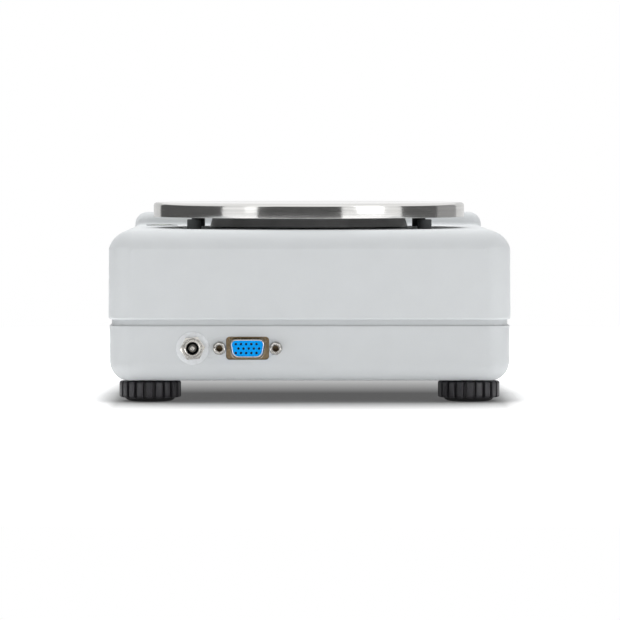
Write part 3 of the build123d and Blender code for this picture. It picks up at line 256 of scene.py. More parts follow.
def pan_steel(name, colour, roughness, centre):
    """Stainless steel brushed in rings round the pan's centre, on its top and its rim alike."""
    rings_per_metre = 5200.0
    drift_per_metre = 45.0
    material, tree, shader, place = new_finish(name, 1.0)
    shader.inputs["Anisotropic"].default_value = 0.6
    shader.inputs["Anisotropic Rotation"].default_value = 0.25
    tangent = add_node(tree, "ShaderNodeTangent", direction_type="RADIAL", axis="Z")
    centred = add_node(tree, "ShaderNodeMapping", {"Vector": place, "Location": (-centre.x, -centre.y, 0)})
    split = add_node(tree, "ShaderNodeSeparateXYZ", {0: centred.outputs["Vector"]})
    flat = add_node(tree, "ShaderNodeCombineXYZ", {0: split.outputs["X"], 1: split.outputs["Y"]}).outputs[0]
    radius = add_node(tree, "ShaderNodeVectorMath", {0: flat}, operation="LENGTH").outputs["Value"]
    rings = add_node(tree, "ShaderNodeCombineXYZ", {0: radius, 1: split.outputs["Z"]}).outputs[0]
    lines = add_node(tree, "ShaderNodeVectorMath", {0: scaled(tree, rings, rings_per_metre),
                                                    1: scaled(tree, flat, drift_per_metre)}, operation="ADD")
    fine = noise(tree, lines.outputs[0], 1.0, 4.0)
    broad = noise(tree, lines.outputs[0], 5.0, 2.0)
    plug(tree, shader, Base_Color=tint(tree, colour, spread(tree, broad, 0.9, 1.08)),
         Roughness=spread(tree, fine, roughness - 0.05, roughness + 0.08),
         Normal=bump(tree, fine, 0.002 * MM, 0.6), Tangent=tangent.outputs[0])
    return material


def painted_casting(name, colour, roughness):
    """Satin powder paint on a casting, with its fine orange peel."""
    material, tree, shader, place = new_finish(name, 0.0, 0.5)
    peel = noise(tree, place, 0.7 * MM, 2.0)
    cloud = noise(tree, place, 14 * MM, 2.0)
    speck = noise(tree, place, 0.25 * MM, 2.0)
    normal = bump(tree, peel, 0.02 * MM, 0.6)
    plug(tree, shader, Base_Color=tint(tree, colour, spread(tree, cloud, 0.92, 1.1)),
         Roughness=spread(tree, speck, roughness - 0.06, roughness + 0.06),
         Normal=bump(tree, speck, 0.008 * MM, 0.5, normal))
    return material


def circuit_board(name, colour):
    """Solder mask over copper tracks that stand out a little."""
    tracks_per_metre = 160.0
    material, tree, shader, place = new_finish(name, 0.0)
    shader.inputs["Coat Weight"].default_value = 0.4
    shader.inputs["Coat Roughness"].default_value = 0.15
    tracks = add_node(tree, "ShaderNodeTexBrick", {"Vector": place, "Scale": tracks_per_metre,
                                                   "Mortar Size": 0.06}).outputs["Fac"]
    grain = noise(tree, place, 0.5 * MM, 2.0)
    shade = maths(tree, "MULTIPLY_ADD", tracks, 0.8, 1.0)
    plug(tree, shader, Base_Color=tint(tree, colour, shade), Roughness=spread(tree, grain, 0.3, 0.42),
         Normal=bump(tree, tracks, 0.03 * MM, 0.6))
    return material


def clear_glass(name, colour, roughness, alpha, coat=0.3):
    """Clear or tinted window with a trace of dust, seen through by its alpha."""
    material, tree, shader, place = new_finish(name, 0.0)
    shader.inputs["Alpha"].default_value = alpha
    shader.inputs["Coat Weight"].default_value = coat
    shader.inputs["Coat Roughness"].default_value = 0.03
    dust = noise(tree, place, 0.4 * MM, 3.0)
    cloud = noise(tree, place, 9 * MM, 2.0)
    plug(tree, shader, Base_Color=tint(tree, colour, spread(tree, cloud, 0.96, 1.04)),
         Roughness=spread(tree, dust, roughness, roughness + 0.05))
    return material


def lamp_liquid(name, colour):
    """Tinted liquid of the level, seen as a bright body."""
    material, tree, shader, place = new_finish(name, 0.0)
    shader.inputs["Coat Weight"].default_value = 0.6
    shader.inputs["Coat Roughness"].default_value = 0.02
    depth = noise(tree, place, 4 * MM, 2.0)
    plug(tree, shader, Base_Color=tint(tree, colour, spread(tree, depth, 0.9, 1.1)),
         Roughness=spread(tree, depth, 0.06, 0.12))
    return material


# Meshes


def finish_piece(name, bm, material, body, replaced=(), corner=CORNER):
    """Turn a bmesh into a piece on its body: faces outwards, smooth but for its corners."""
    bmesh.ops.remove_doubles(bm, verts=bm.verts, dist=WELD)
    bmesh.ops.recalc_face_normals(bm, faces=bm.faces)
    mesh = bpy.data.meshes.new(name)
    bm.to_mesh(mesh)
    bm.free()
    mesh.shade_smooth()
    mesh.set_sharp_from_angle(angle=corner)
    mesh.materials.append(material)
    obj = bpy.data.objects.new(name, mesh)
    bpy.context.scene.collection.objects.link(obj)
    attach(obj, body)
    if replaced:
        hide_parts(*replaced)
    return obj


def bevel_edges(bm, edges, width, segments):
    """Cut or round edges evenly."""
    bmesh.ops.bevel(bm, geom=edges, offset=width, offset_type="OFFSET", segments=segments, profile=0.5,
                    affect="EDGES", clamp_overlap=True, material=-1)


def round_corners(bm, verts, radius, segments=ROUND):
    """Round corners of an outline."""
    bmesh.ops.bevel(bm, geom=verts, offset=radius, offset_type="OFFSET", segments=segments, profile=0.5,
                    affect="VERTICES", material=-1)


def chain(bm, points):
    """Line through (radius, height) points, rounded at the points that give a rounding as well."""
    verts = [bm.verts.new((point[0], 0, point[1])) for point in points]
    for first, second in zip(verts, verts[1:]):
        bm.edges.new((first, second))
    for vert, point in zip(verts, points):
        if len(point) > 2:
            round_corners(bm, [vert], point[2])


def spun(points, steps=TURNED_STEPS):
    """Body of revolution about Z, whose outline starts and ends on the axis or closes on itself."""
    bm = bmesh.new()
    chain(bm, points)
    bmesh.ops.spin(bm, geom=bm.verts[:] + bm.edges[:], cent=(0, 0, 0), axis=(0, 0, 1), dvec=(0, 0, 0),
                   angle=math.tau, steps=steps, use_merge=True, use_duplicate=False)
    bmesh.ops.remove_doubles(bm, verts=bm.verts, dist=WELD)
    return bm


def spun_ring(points, steps=TURNED_STEPS):
    """Body of revolution of a closed outline that stays clear of the axis."""
    return spun([*points, points[0][:2]], steps)


def screw_thread(root, crest, pitch, low, high, steps=24):
    """Threaded rod between two heights: one turn's V swept up round the axis, cut level at both ends."""
    turns = math.ceil((high - low) / pitch) + 2
    bm = bmesh.new()
    chain(bm, [(root, 0), (crest, pitch / 2), (root, pitch)])
    bmesh.ops.spin(bm, geom=bm.verts[:] + bm.edges[:], cent=(0, 0, 0), axis=(0, 0, 1),
                   dvec=(0, 0, pitch / steps), angle=turns * math.tau, steps=turns * steps,
                   use_merge=False, use_duplicate=False)
    bmesh.ops.translate(bm, verts=bm.verts, vec=(0, 0, low - pitch))
    bmesh.ops.remove_doubles(bm, verts=bm.verts, dist=WELD)
    for height, up in ((low, -1), (high, 1)):
        everything = bm.verts[:] + bm.edges[:] + bm.faces[:]
        cut = bmesh.ops.bisect_plane(bm, geom=everything, plane_co=(0, 0, height), plane_no=(0, 0, up),
                                     clear_outer=True)
        rim = [e for e in cut["geom_cut"] if isinstance(e, bmesh.types.BMEdge)]
        bmesh.ops.holes_fill(bm, edges=rim, sides=0)
    return bm


def prism(sides, across_flats, low, high, turn):
    """Upright prism between two heights."""
    bm = bmesh.new()
    radius = across_flats / 2 / math.cos(math.pi / sides)
    bmesh.ops.create_circle(bm, cap_ends=True, segments=sides, radius=radius,
                            matrix=Matrix.Rotation(turn, 4, "Z") @ Matrix.Translation((0, 0, low)))
    raised = bmesh.ops.extrude_face_region(bm, geom=bm.faces[:])
    top = [v for v in raised["geom"] if isinstance(v, bmesh.types.BMVert)]
    bmesh.ops.translate(bm, verts=top, vec=(0, 0, high - low))
    return bm


def as_object(bm):
    """Loose object for a Boolean."""
    bmesh.ops.recalc_face_normals(bm, faces=bm.faces)
    mesh = bpy.data.meshes.new("part")
    bm.to_mesh(mesh)
    bm.free()
    obj = bpy.data.objects.new("part", mesh)
    bpy.context.scene.collection.objects.link(obj)
    return obj


def carved(bm, cutter, operation):
    """First shape after a Boolean with the second, which is used up."""
    target = as_object(bm)
    tool = as_object(cutter)
    boolean = target.modifiers.new("cut", "BOOLEAN")
    boolean.operation = operation
    boolean.solver = "EXACT"
    boolean.object = tool
    bpy.context.view_layer.update()
    mesh = bpy.data.meshes.new_from_object(target.evaluated_get(bpy.context.evaluated_depsgraph_get()))
    result = bmesh.new()
    result.from_mesh(mesh)
    bpy.data.objects.remove(target)
    bpy.data.objects.remove(tool)
    bpy.data.meshes.remove(mesh)
    return result


def merged(*parts):
    """Several shapes in one bmesh."""
    whole = bmesh.new()
    for part in parts:
        mesh = bpy.data.meshes.new("part")
        part.to_mesh(mesh)
        part.free()
        whole.from_mesh(mesh)
        bpy.data.meshes.remove(mesh)
    return whole


def moved(bm, matrix):
    """Shape put through a matrix."""
    bmesh.ops.transform(bm, matrix=matrix, verts=bm.verts)
    return bm


def facing_rear(x, face_y, z):
    """Matrix that stands a shape made along +Z out of the rear wall, with its +Y up."""
    return Matrix(((-1, 0, 0, x), (0, 0, 1, face_y), (0, 1, 0, z), (0, 0, 0, 1)))


def dress_node(name, material):
    """Show a CAD node as it is, in a finish."""
    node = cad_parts[name]
    node.data.materials.clear()
    node.data.materials.append(material)


def smooth_copy(name, node, material, body):
    """Piece that copies a CAD node's faces, merged and shaded smooth."""
    weld = 1e-6
    bm = bmesh.new()
    bm.from_mesh(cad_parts[node].data)
    bmesh.ops.remove_doubles(bm, verts=bm.verts, dist=weld)
    obj = finish_piece(name, bm, material, body, (node,))
    weighted = obj.modifiers.new("even_shading", "WEIGHTED_NORMAL")
    weighted.keep_sharp = True


# Settings


class HousingSettings(bpy.types.PropertyGroup):
    colour: FloatVectorProperty(name="Housing colour", description="Light grey of the moulded housings",
                                default=(0.675, 0.697, 0.71), size=3, subtype="COLOR", min=0, max=1)
    roughness: FloatProperty(name="Roughness", description="How dull the mouldings are", default=0.5,
                             subtype="FACTOR", min=0, max=1)
    grain: FloatProperty(name="Grain", description="Width of the moulded texture's grain", default=0.28 * MM,
                         unit="LENGTH")
    grain_depth: FloatProperty(name="Grain depth", description="Depth of the moulded texture",
                               default=0.012 * MM, unit="LENGTH")
    stop_colour: FloatVectorProperty(name="Buffer colour", description="Rubber of the overload stops",
                                     default=(0.04, 0.043, 0.045), size=3, subtype="COLOR", min=0, max=1)


class PanSettings(bpy.types.PropertyGroup):
    steel: FloatVectorProperty(name="Steel colour", description="Brushed stainless steel of the pan",
                               default=(0.74, 0.735, 0.72), size=3, subtype="COLOR", min=0, max=1)
    roughness: FloatProperty(name="Roughness", description="How far the brushing blurs reflections",
                             default=0.12, subtype="FACTOR", min=0, max=1)
    sheet: FloatProperty(name="Sheet", description="Thickness of the pan's sheet", default=1.5 * MM,
                         unit="LENGTH")
    edge_round: FloatProperty(name="Edge rounding", description="Radius of the pan's upper edge",
                              default=1.5 * MM, unit="LENGTH")
    paint: FloatVectorProperty(name="Support paint", description="Satin paint of the pan support",
                               default=(0.45, 0.45, 0.45), size=3, subtype="COLOR", min=0, max=1)


class FootSettings(bpy.types.PropertyGroup):
    colour: FloatVectorProperty(name="Wheel colour", description="Black plastic of the foot wheels",
                                default=(0.032, 0.031, 0.035), size=3, subtype="COLOR", min=0, max=1)
    ribs: IntProperty(name="Ribs", description="Ribs round each wheel", default=20, min=6, max=60)
    groove_share: FloatProperty(name="Groove share", description="Part of each pitch that is groove",
                                default=0.34, subtype="FACTOR", min=0, max=1)
    groove_depth: FloatProperty(name="Groove depth", description="Depth of the wheel's grooves",
                                default=1.7 * MM, unit="LENGTH")
    pitch: FloatProperty(name="Thread pitch", description="Rise of the stud's thread in one turn",
                         default=1.0 * MM, unit="LENGTH")


class SocketSettings(bpy.types.PropertyGroup):
    blue: FloatVectorProperty(name="Insert colour", description="Blue insulator of the data socket",
                              default=(0.0, 0.35, 0.96), size=3, subtype="COLOR", min=0, max=1)
    chromate: FloatVectorProperty(name="Flange colour", description="Yellow chromate on the socket's flange",
                                  default=(0.33, 0.24, 0.14), size=3, subtype="COLOR", min=0, max=1)
    nickel: FloatVectorProperty(name="Nickel", description="Nickel plating of nut and jackscrews",
                                default=(0.72, 0.7, 0.66), size=3, subtype="COLOR", min=0, max=1)
    washer: FloatVectorProperty(name="Jackscrew washers", description="Dull zinc under the jackscrews",
                                default=(0.42, 0.42, 0.41), size=3, subtype="COLOR", min=0, max=1)
    sleeve: FloatVectorProperty(name="Contact sleeve", description="Dull plating of the inlet's sleeve",
                                default=(0.2, 0.19, 0.17), size=3, subtype="COLOR", min=0, max=1)
    zinc: FloatVectorProperty(name="Zinc", description="Bright zinc on the inlet's washer",
                              default=(0.86, 0.88, 0.9), size=3, subtype="COLOR", min=0, max=1)
    thread_pitch: FloatProperty(name="Inlet thread", description="Thread pitch of the power inlet",
                                default=0.75 * MM, unit="LENGTH")


class ConsoleSettings(bpy.types.PropertyGroup):
    key_colour: FloatVectorProperty(name="Key colour", description="Grey of the key caps",
                                    default=(0.33, 0.35, 0.36), size=3, subtype="COLOR", min=0, max=1)
    display_colour: FloatVectorProperty(name="Display colour", description="Grey-green of the unlit display",
                                        default=(0.2, 0.24, 0.19), size=3, subtype="COLOR", min=0, max=1)
    digits: IntProperty(name="Digits", description="Places in the display", default=6, min=1, max=10)
    digit_height: FloatProperty(name="Digit height", description="Height of the display's digits",
                                default=12.0 * MM, unit="LENGTH")
    mark_height: FloatProperty(name="Mark height", description="Height of the marks on the keys",
                               default=4.4 * MM, unit="LENGTH")


class StageSettings(bpy.types.PropertyGroup):
    camera_distance: FloatProperty(name="Camera distance", description="From the rear wall to the camera",
                                   default=2.0, unit="LENGTH")
    camera_height: FloatProperty(name="Camera height", description="Camera above the table", default=0.1092,
                                 unit="LENGTH")
    camera_side: FloatProperty(name="Camera offset", description="Camera to the side of the middle plane",
                               default=0.0085, unit="LENGTH")
    aim_height: FloatProperty(name="Aim height", description="Height that the camera looks at",
                              default=0.04155, unit="LENGTH")
    focal_pixels: FloatProperty(name="Focal length in pixels", description="For an image 620 pixels wide",
                                default=4494.0)
    fill: FloatProperty(name="Fill", description="Strength of the light from all around", default=0.295)
    paper: FloatProperty(name="Paper", description="How white the floor is to the camera", default=1.32)
    # Strength of the glow painted into the floor's deepest shadow.
    shadow_floor: FloatProperty(name="Shadow", description="Brightness left in the deepest shadow",
                                default=0.11)
    bounce: FloatProperty(name="Bounce", description="Light that the paper adds from below", default=0.1)
    near_bounce: FloatProperty(name="Near bounce", description="Further light from the paper nearby",
                               default=0.52)
    # Reach of the ambient occlusion painted into the floor's colour as painted contact shadow.
    contact: FloatProperty(name="Contact", description="Reach of the contact shadow", default=0.08,
                           unit="LENGTH")


# Builders


def build_housings(scene):
    """Both housings and the buffers on the deck."""
    settings = scene.balance_housing
    plastic = moulded_plastic("housing_plastic", settings.colour, settings.roughness, settings.grain,
                              settings.grain_depth, 0.012)
    smooth_copy("housing_cover", "upper_housing", plastic, "housing")
    smooth_copy("housing_tray", "lower_housing", plastic, "housing")
    rubber = moulded_plastic("buffer_rubber", settings.stop_colour, 0.6, 0.4 * MM, 0.01 * MM, 0.06)
    smooth_copy("overload_buffers", "overload_stops", rubber, "housing")


def build_inner_parts(_scene):
    """Finishes of the chassis, load cell, boards, inserts and screws."""
    along_y = (1500, 120, 1500)
    round_z = (300, 300, 3000)
    milled = brushed_metal("milled_aluminium", ALUMINIUM, 0.32, along_y, 0.004 * MM, 0.05)
    zinc = plated_metal("zinc_screws", DULL_ZINC, 0.35)
    brass = brushed_metal("turned_brass", BRASS, 0.28, round_z, 0.004 * MM, 0.06)
    board = circuit_board("solder_mask", BOARD_GREEN)
    black = moulded_plastic("component_black", COMPONENT_BLACK, 0.5, 0.3 * MM, 0.006 * MM, 0.08)
    for node in ("chassis_plate", "cell_spacer_lower", "cell_spacer_upper", "load_cell", "pan_carrier"):
        dress_node(node, milled)
    for node in ("housing_screws", "cell_screws_lower", "cell_screws_upper", "overload_screw", "overload_nut",
                 "m3_screws", "pan_support_screws", "display_frame"):
        dress_node(node, zinc)
    dress_node("foot_inserts", brass)
    for node in ("main_board", "display_board", "interface_board"):
        dress_node(node, board)
    for node in ("main_board_parts", "key_switches"):
        dress_node(node, black)


def build_pan(scene):
    """Weighing pan with its turned-down rim and stub."""
    settings = scene.balance_pan
    low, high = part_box("weighing_pan")
    centre = (low + high) / 2
    rim_height = 6.7 * MM
    lip = 0.15 * MM
    bend = 0.4 * MM
    stub = 6.0 * MM
    stub_root = 0.6 * MM
    stub_end = 1.0 * MM
    radius = (high.x - low.x) / 2
    inside = radius - settings.sheet
    top = high.z
    rim = top - rim_height
    under = top - settings.sheet
    outline = [(0, top), (radius, top, settings.edge_round), (radius, rim, lip), (inside, rim, lip),
               (inside, under, bend), (stub, under, stub_root), (stub, low.z, stub_end), (0, low.z)]
    dish = moved(spun(outline, PAN_STEPS), Matrix.Translation((centre.x, centre.y, 0)))
    steel = pan_steel("brushed_stainless", settings.steel, settings.roughness, centre)
    finish_piece("pan_dish", dish, steel, "pan", ("weighing_pan",))


def build_support(scene):
    """Painted pan support and its cushions."""
    settings = scene.balance_pan
    paint = painted_casting("support_paint", settings.paint, 0.38)
    silicone = moulded_plastic("silicone", SILICONE_GREY, 0.55, 0.4 * MM, 0.006 * MM, 0.03)
    smooth_copy("support_cone", "pan_support", paint, "load_carrier")
    smooth_copy("cushion_buttons", "pan_cushions", silicone, "load_carrier")


def rib_outline(bm, radius, settings):
    """One rib of the wheel's outline, from the middle of a groove to the middle of the next."""
    corner = 0.16 * MM
    corner_segments = 3
    pitch = math.tau / settings.ribs
    edge = pitch / 2
    groove = radius - settings.groove_depth
    flank = settings.groove_share / 2 * pitch
    lean = flank * 0.18
    crest = pitch / 6
    corners = [(groove, -edge), (groove, -edge + flank - lean), (radius, -edge + flank + lean),
               (radius, -crest), (radius, 0), (radius, crest),
               (radius, edge - flank - lean), (groove, edge - flank + lean), (groove, edge)]
    verts = [bm.verts.new((r * math.cos(a), r * math.sin(a), 0)) for r, a in corners]
    for first, second in zip(verts, verts[1:]):
        bm.edges.new((first, second))
    round_corners(bm, [verts[2], verts[6]], corner, corner_segments)


def foot_wheel(radius, low, high, settings):
    """Ribbed wheel: the outline raised in steps, so that both rims are rounded."""
    weld = 2e-6
    edge_round = 0.9 * MM
    steps = 4
    inset = radius - edge_round
    bm = bmesh.new()
    rib_outline(bm, radius, settings)
    bmesh.ops.spin(bm, geom=bm.verts[:] + bm.edges[:], cent=(0, 0, 0), axis=(0, 0, 1), dvec=(0, 0, 0),
                   angle=math.tau, steps=settings.ribs, use_merge=False, use_duplicate=True)
    bmesh.ops.remove_doubles(bm, verts=bm.verts, dist=weld)
    start = inset / radius
    bmesh.ops.scale(bm, vec=(start, start, 1), verts=bm.verts)
    bmesh.ops.translate(bm, vec=(0, 0, low), verts=bm.verts)
    ring = bm.edges[:]
    cap = bmesh.ops.edgenet_fill(bm, edges=ring)["faces"]
    bmesh.ops.reverse_faces(bm, faces=cap)
    turns = [math.pi / 2 * (i + 1) / steps for i in range(steps)]
    levels = [(low + edge_round * (1 - math.cos(t)), radius - edge_round * (1 - math.sin(t))) for t in turns]
    levels += [(low + high - z, r) for z, r in reversed(levels)]
    levels.append((high, inset))
    last_z, last_r = low, inset
    for z, r in levels:
        grown = bmesh.ops.extrude_edge_only(bm, edges=ring)["geom"]
        ring = [e for e in grown if isinstance(e, bmesh.types.BMEdge)]
        verts = [v for v in grown if isinstance(v, bmesh.types.BMVert)]
        bmesh.ops.scale(bm, vec=(r / last_r, r / last_r, 1), verts=verts)
        bmesh.ops.translate(bm, vec=(0, 0, z - last_z), verts=verts)
        last_z, last_r = z, r
    bmesh.ops.edgenet_fill(bm, edges=ring)
    return bm


def foot_pad(radius, bottom, seat, top):
    """Rubber pad: its sole, the swell under the wheel, and the peg that goes up into it."""
    sole = radius - 2.4 * MM
    sole_round = 0.6 * MM
    swell = radius - 0.5 * MM
    swell_rise = 0.8 * MM
    seat_round = 0.2 * MM
    peg = 4 * MM
    return spun([(0, bottom), (sole, bottom, sole_round), (swell, bottom + swell_rise, swell_rise),
                 (radius, seat, seat_round), (peg, seat), (peg, top), (0, top)])


def build_feet(scene):
    """Four levelling feet: ribbed wheel, threaded stud and pad."""
    settings = scene.balance_feet
    thread_depth = 0.55 * settings.pitch
    black = moulded_plastic("wheel_plastic", settings.colour, 0.42, 0.22 * MM, 0.006 * MM, 0.05)
    rubber = moulded_plastic("pad_rubber", PAD_BLACK, 0.7, 0.3 * MM, 0.01 * MM, 0.06)
    zinc = plated_metal("stud_zinc", STUD_ZINC, 0.3)
    for foot in FEET:
        wheel_node = f"foot_wheel_{foot}"
        stud_node = f"foot_stud_{foot}"
        pad_node = f"foot_pad_{foot}"
        wheel_low, wheel_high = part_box(wheel_node)
        pad_low, pad_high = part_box(pad_node)
        stud_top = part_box(stud_node)[1].z
        crest = size(stud_node).x / 2
        axis = Matrix.Translation((middle(wheel_node).x, middle(wheel_node).y, 0))
        wheel = foot_wheel(size(wheel_node).x / 2, wheel_low.z, wheel_high.z, settings)
        stud_bottom = wheel_high.z - settings.pitch
        stud = screw_thread(crest - thread_depth, crest, settings.pitch, stud_bottom, stud_top)
        pad = foot_pad(size(pad_node).x / 2, pad_low.z, wheel_low.z, pad_high.z)
        finish_piece(f"wheel_{foot}", moved(wheel, axis), black, wheel_node, (wheel_node,),
                     RIB_CORNER)
        finish_piece(f"stud_{foot}", moved(stud, axis), zinc, wheel_node, (stud_node,))
        finish_piece(f"pad_{foot}", moved(pad, axis), rubber, pad_node, (pad_node,))


def flat_washer(hole, radius, thick, under_edge, edge, hole_edge, steps):
    """Flat washer with its edges broken."""
    outline = [(hole, 0), (radius, 0, under_edge), (radius, thick, edge), (hole, thick, hole_edge)]
    return spun_ring(outline, steps)


def inlet_nut(base, top):
    """Hexagon nut, chamfered outside and countersunk inside."""
    flats = 9.6 * MM
    turn = math.radians(35)
    chamfer = 0.62 * MM
    hole = 3.62 * MM
    sink = 4.25 * MM
    sink_depth = 0.35 * MM
    proud = 0.3 * MM
    below = base - MM
    wide = flats * 0.58
    narrow = flats * 0.485
    crown = spun([(0, base), (wide, base), (wide, top - chamfer), (narrow, top), (0, top)])
    bore = spun([(0, below), (hole, below), (hole, top - sink_depth), (sink, top + proud), (0, top + proud)])
    return carved(carved(prism(6, flats, base, top, turn), crown, "INTERSECT"), bore, "DIFFERENCE")


def build_power_inlet(scene):
    """Washer, nut, threaded bushing, dark bore, centre pin and contact sleeve of the power inlet."""
    settings = scene.balance_sockets
    nickel = plated_metal("inlet_nickel", settings.nickel, 0.2, 0.006 * MM)
    zinc = plated_metal("inlet_washer_zinc", settings.zinc, 0.5, 0.004 * MM)
    black = moulded_plastic("inlet_black", INLET_BLACK, 0.5, 0.3 * MM, 0.004 * MM, 0.1)
    grey = plated_metal("inlet_sleeve_grey", settings.sleeve, 0.4, 0.006 * MM)
    washer_low, washer_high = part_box("power_jack_washer")
    nut_low, nut_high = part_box("power_jack_nut")
    bushing_low, bushing_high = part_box("power_jack_bushing")
    face = washer_low.y
    thick = washer_high.y - face
    base = nut_low.y - face
    top = nut_high.y - face
    root = bushing_low.y - face
    reach = bushing_high.y - face
    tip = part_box("power_jack_pin")[1].y - face
    centre = middle("power_jack_washer")
    stand = facing_rear(centre.x, face, centre.z)

    washer_hole = 4.05 * MM
    burr = 0.1 * MM
    washer_edge = 0.16 * MM
    washer_radius = size("power_jack_washer").x / 2
    washer = flat_washer(washer_hole, washer_radius, thick, burr, washer_edge, burr, WASHER_STEPS)
    finish_piece("inlet_washer", moved(washer, stand), zinc, "housing", ("power_jack_washer",))
    finish_piece("inlet_nut", moved(inlet_nut(base, top), stand), nickel, "housing",
                 ("power_jack_nut",), FINE_CORNER)

    bore = 2.8 * MM
    crest = 3.85 * MM
    barrel = crest - 0.4 * MM
    mouth = reach - 0.35 * MM
    body = spun_ring([(bore, root), (barrel, root), (barrel, reach - 0.9 * MM),
                      (crest - 0.35 * MM, reach - 0.2 * MM), (crest - 0.6 * MM, reach, burr),
                      (bore + 0.25 * MM, reach, burr), (bore, mouth, burr)], WASHER_STEPS)
    finish_piece("inlet_bushing", moved(body, stand), nickel, "housing", ("power_jack_bushing",))
    thread = screw_thread(crest - 0.45 * MM, crest, settings.thread_pitch, top - MM, mouth, TINY_STEPS)
    core_radius = bore + 0.3 * MM
    core_low = top - 2 * MM
    core = spun([(0, core_low), (core_radius, core_low), (core_radius, reach), (0, reach)])
    thread = carved(thread, core, "DIFFERENCE")
    finish_piece("inlet_thread", moved(thread, stand), nickel, "housing")

    dress_node("power_jack_body", black)
    liner_radius = bore - 0.12 * MM
    liner_end = reach - 0.75 * MM
    liner = spun_ring([(liner_radius, root), (bore, root), (bore, liner_end), (liner_radius, liner_end)])
    finish_piece("inlet_liner", moved(liner, stand), black, "housing")

    pin_radius = size("power_jack_pin").x / 2
    pin_round = 0.3 * MM
    dimple = pin_radius * 0.55
    dimple_round = 0.12 * MM
    pin = spun([(0, root), (pin_radius, root), (pin_radius, tip, pin_round), (dimple, tip, dimple_round),
                (pin_radius * 0.5, tip - 1.2 * MM), (0, tip - 1.5 * MM)], SMALL_STEPS)
    finish_piece("inlet_pin", moved(pin, stand), nickel, "housing", ("power_jack_pin",))

    inside = pin_radius + 0.1 * MM
    outside = pin_radius + 0.7 * MM
    sleeve_end = tip - 0.5 * MM
    sleeve_round = 0.2 * MM
    sleeve = spun_ring([(inside, root), (outside, root), (outside, sleeve_end, sleeve_round),
                        (inside, sleeve_end, sleeve_round)], SMALL_STEPS)
    finish_piece("inlet_sleeve", moved(sleeve, stand), grey, "housing")


def shell_outline(width, height, slant, rounding):
    """D-shaped ring in the XY plane with its wide side up and its corners rounded."""
    corner_segments = 8
    bm = bmesh.new()
    lean = height * math.tan(slant)
    corners = [(-width / 2, height / 2), (width / 2, height / 2), (width / 2 - lean, -height / 2),
               (-width / 2 + lean, -height / 2)]
    verts = [bm.verts.new((x, y, 0)) for x, y in corners]
    for first, second in zip(verts, verts[1:] + verts[:1]):
        bm.edges.new((first, second))
    round_corners(bm, verts, rounding, corner_segments)
    return bm


def port_shell(width, height, back, front, skin):
    """Drawn shell: a flared foot on the flange, straight walls and a rolled mouth."""
    slant = math.radians(10)
    corner = 2.3 * MM
    flare = 1.0 * MM
    flare_steps = 5
    lip = 0.3 * MM
    bm = shell_outline(width, height, slant, corner)
    ring = bm.edges[:]
    turns = [math.pi / 2 * i / flare_steps for i in range(flare_steps, -1, -1)]
    levels = [(back + flare * (1 - math.sin(t)), flare * (1 - math.cos(t))) for t in turns]
    levels += [(front - lip, 0.0), (front - 0.08 * MM, -0.1 * MM), (front, -lip), (front - 0.1 * MM, -skin),
               (back, -skin)]
    verts = bm.verts[:]
    last_z, last_out = levels[0]
    grow = Matrix.Diagonal(((width + 2 * last_out) / width, (height + 2 * last_out) / height, 1, 1))
    bmesh.ops.transform(bm, matrix=Matrix.Translation((0, 0, last_z)) @ grow, verts=verts)
    for z, out in levels[1:]:
        grown = bmesh.ops.extrude_edge_only(bm, edges=ring)["geom"]
        ring = [e for e in grown if isinstance(e, bmesh.types.BMEdge)]
        verts = [v for v in grown if isinstance(v, bmesh.types.BMVert)]
        grow = Matrix.Diagonal(((width + 2 * out) / (width + 2 * last_out),
                                (height + 2 * out) / (height + 2 * last_out), 1, 1))
        bmesh.ops.transform(bm, matrix=grow, verts=verts)
        bmesh.ops.translate(bm, vec=(0, 0, z - last_z), verts=verts)
        last_z, last_out = z, out
    return bm


def jackscrew(flats, base, top, bore):
    """Hexagon jackscrew: chamfered all round its end, with an open bore."""
    turn = math.radians(15)
    floor = base + 0.5 * MM
    sink_depth = 0.35 * MM
    proud = top + 0.05 * MM
    wide = flats * 0.62
    narrow = flats * 0.44
    crown = spun([(0, base), (wide, base), (wide, top - 0.9 * MM), (flats * 0.57, top - 0.5 * MM),
                  (narrow, top), (0, top)], SMALL_STEPS)
    hole = spun([(0, floor), (bore, floor), (bore, top - sink_depth), (bore + 0.4 * MM, proud), (0, proud)],
                SMALL_STEPS)
    return carved(carved(prism(6, flats, base, top, turn), crown, "INTERSECT"), hole, "DIFFERENCE")


def jackscrew_thread(bore, start):
    """Thread inside a jackscrew's bore, and the disc that closes it."""
    turns = 5
    rise = 0.62 * MM
    root = bore + 0.15 * MM
    crest = bore - 0.12 * MM
    disc = bore + 0.14 * MM
    teeth = []
    for i in range(turns):
        z = start + i * rise
        teeth.append(spun_ring([(root, z), (crest, z + rise / 2), (root, z + rise)], TINY_STEPS))
    under = start - 0.2 * MM
    dish = start - 0.1 * MM
    teeth.append(spun([(0, under), (disc, under), (disc, start), (0, dish)], TINY_STEPS))
    return merged(*teeth)


def socket_step(face):
    """Low raised step of the flange round the shell's foot."""
    margin = 1.9 * MM
    slant = math.radians(9)
    corner = 2.9 * MM
    lift = 0.02 * MM
    height = 0.25 * MM
    shell = size("data_port_shell")
    bm = shell_outline(shell.x + margin, shell.z + margin, slant, corner)
    bmesh.ops.translate(bm, vec=(0, 0, face + lift), verts=bm.verts)
    cap = bmesh.ops.edgenet_fill(bm, edges=bm.edges[:])["faces"]
    raised = bmesh.ops.extrude_face_region(bm, geom=cap)["geom"]
    top = [v for v in raised if isinstance(v, bmesh.types.BMVert)]
    bmesh.ops.translate(bm, vec=(0, 0, height), verts=top)
    return bm


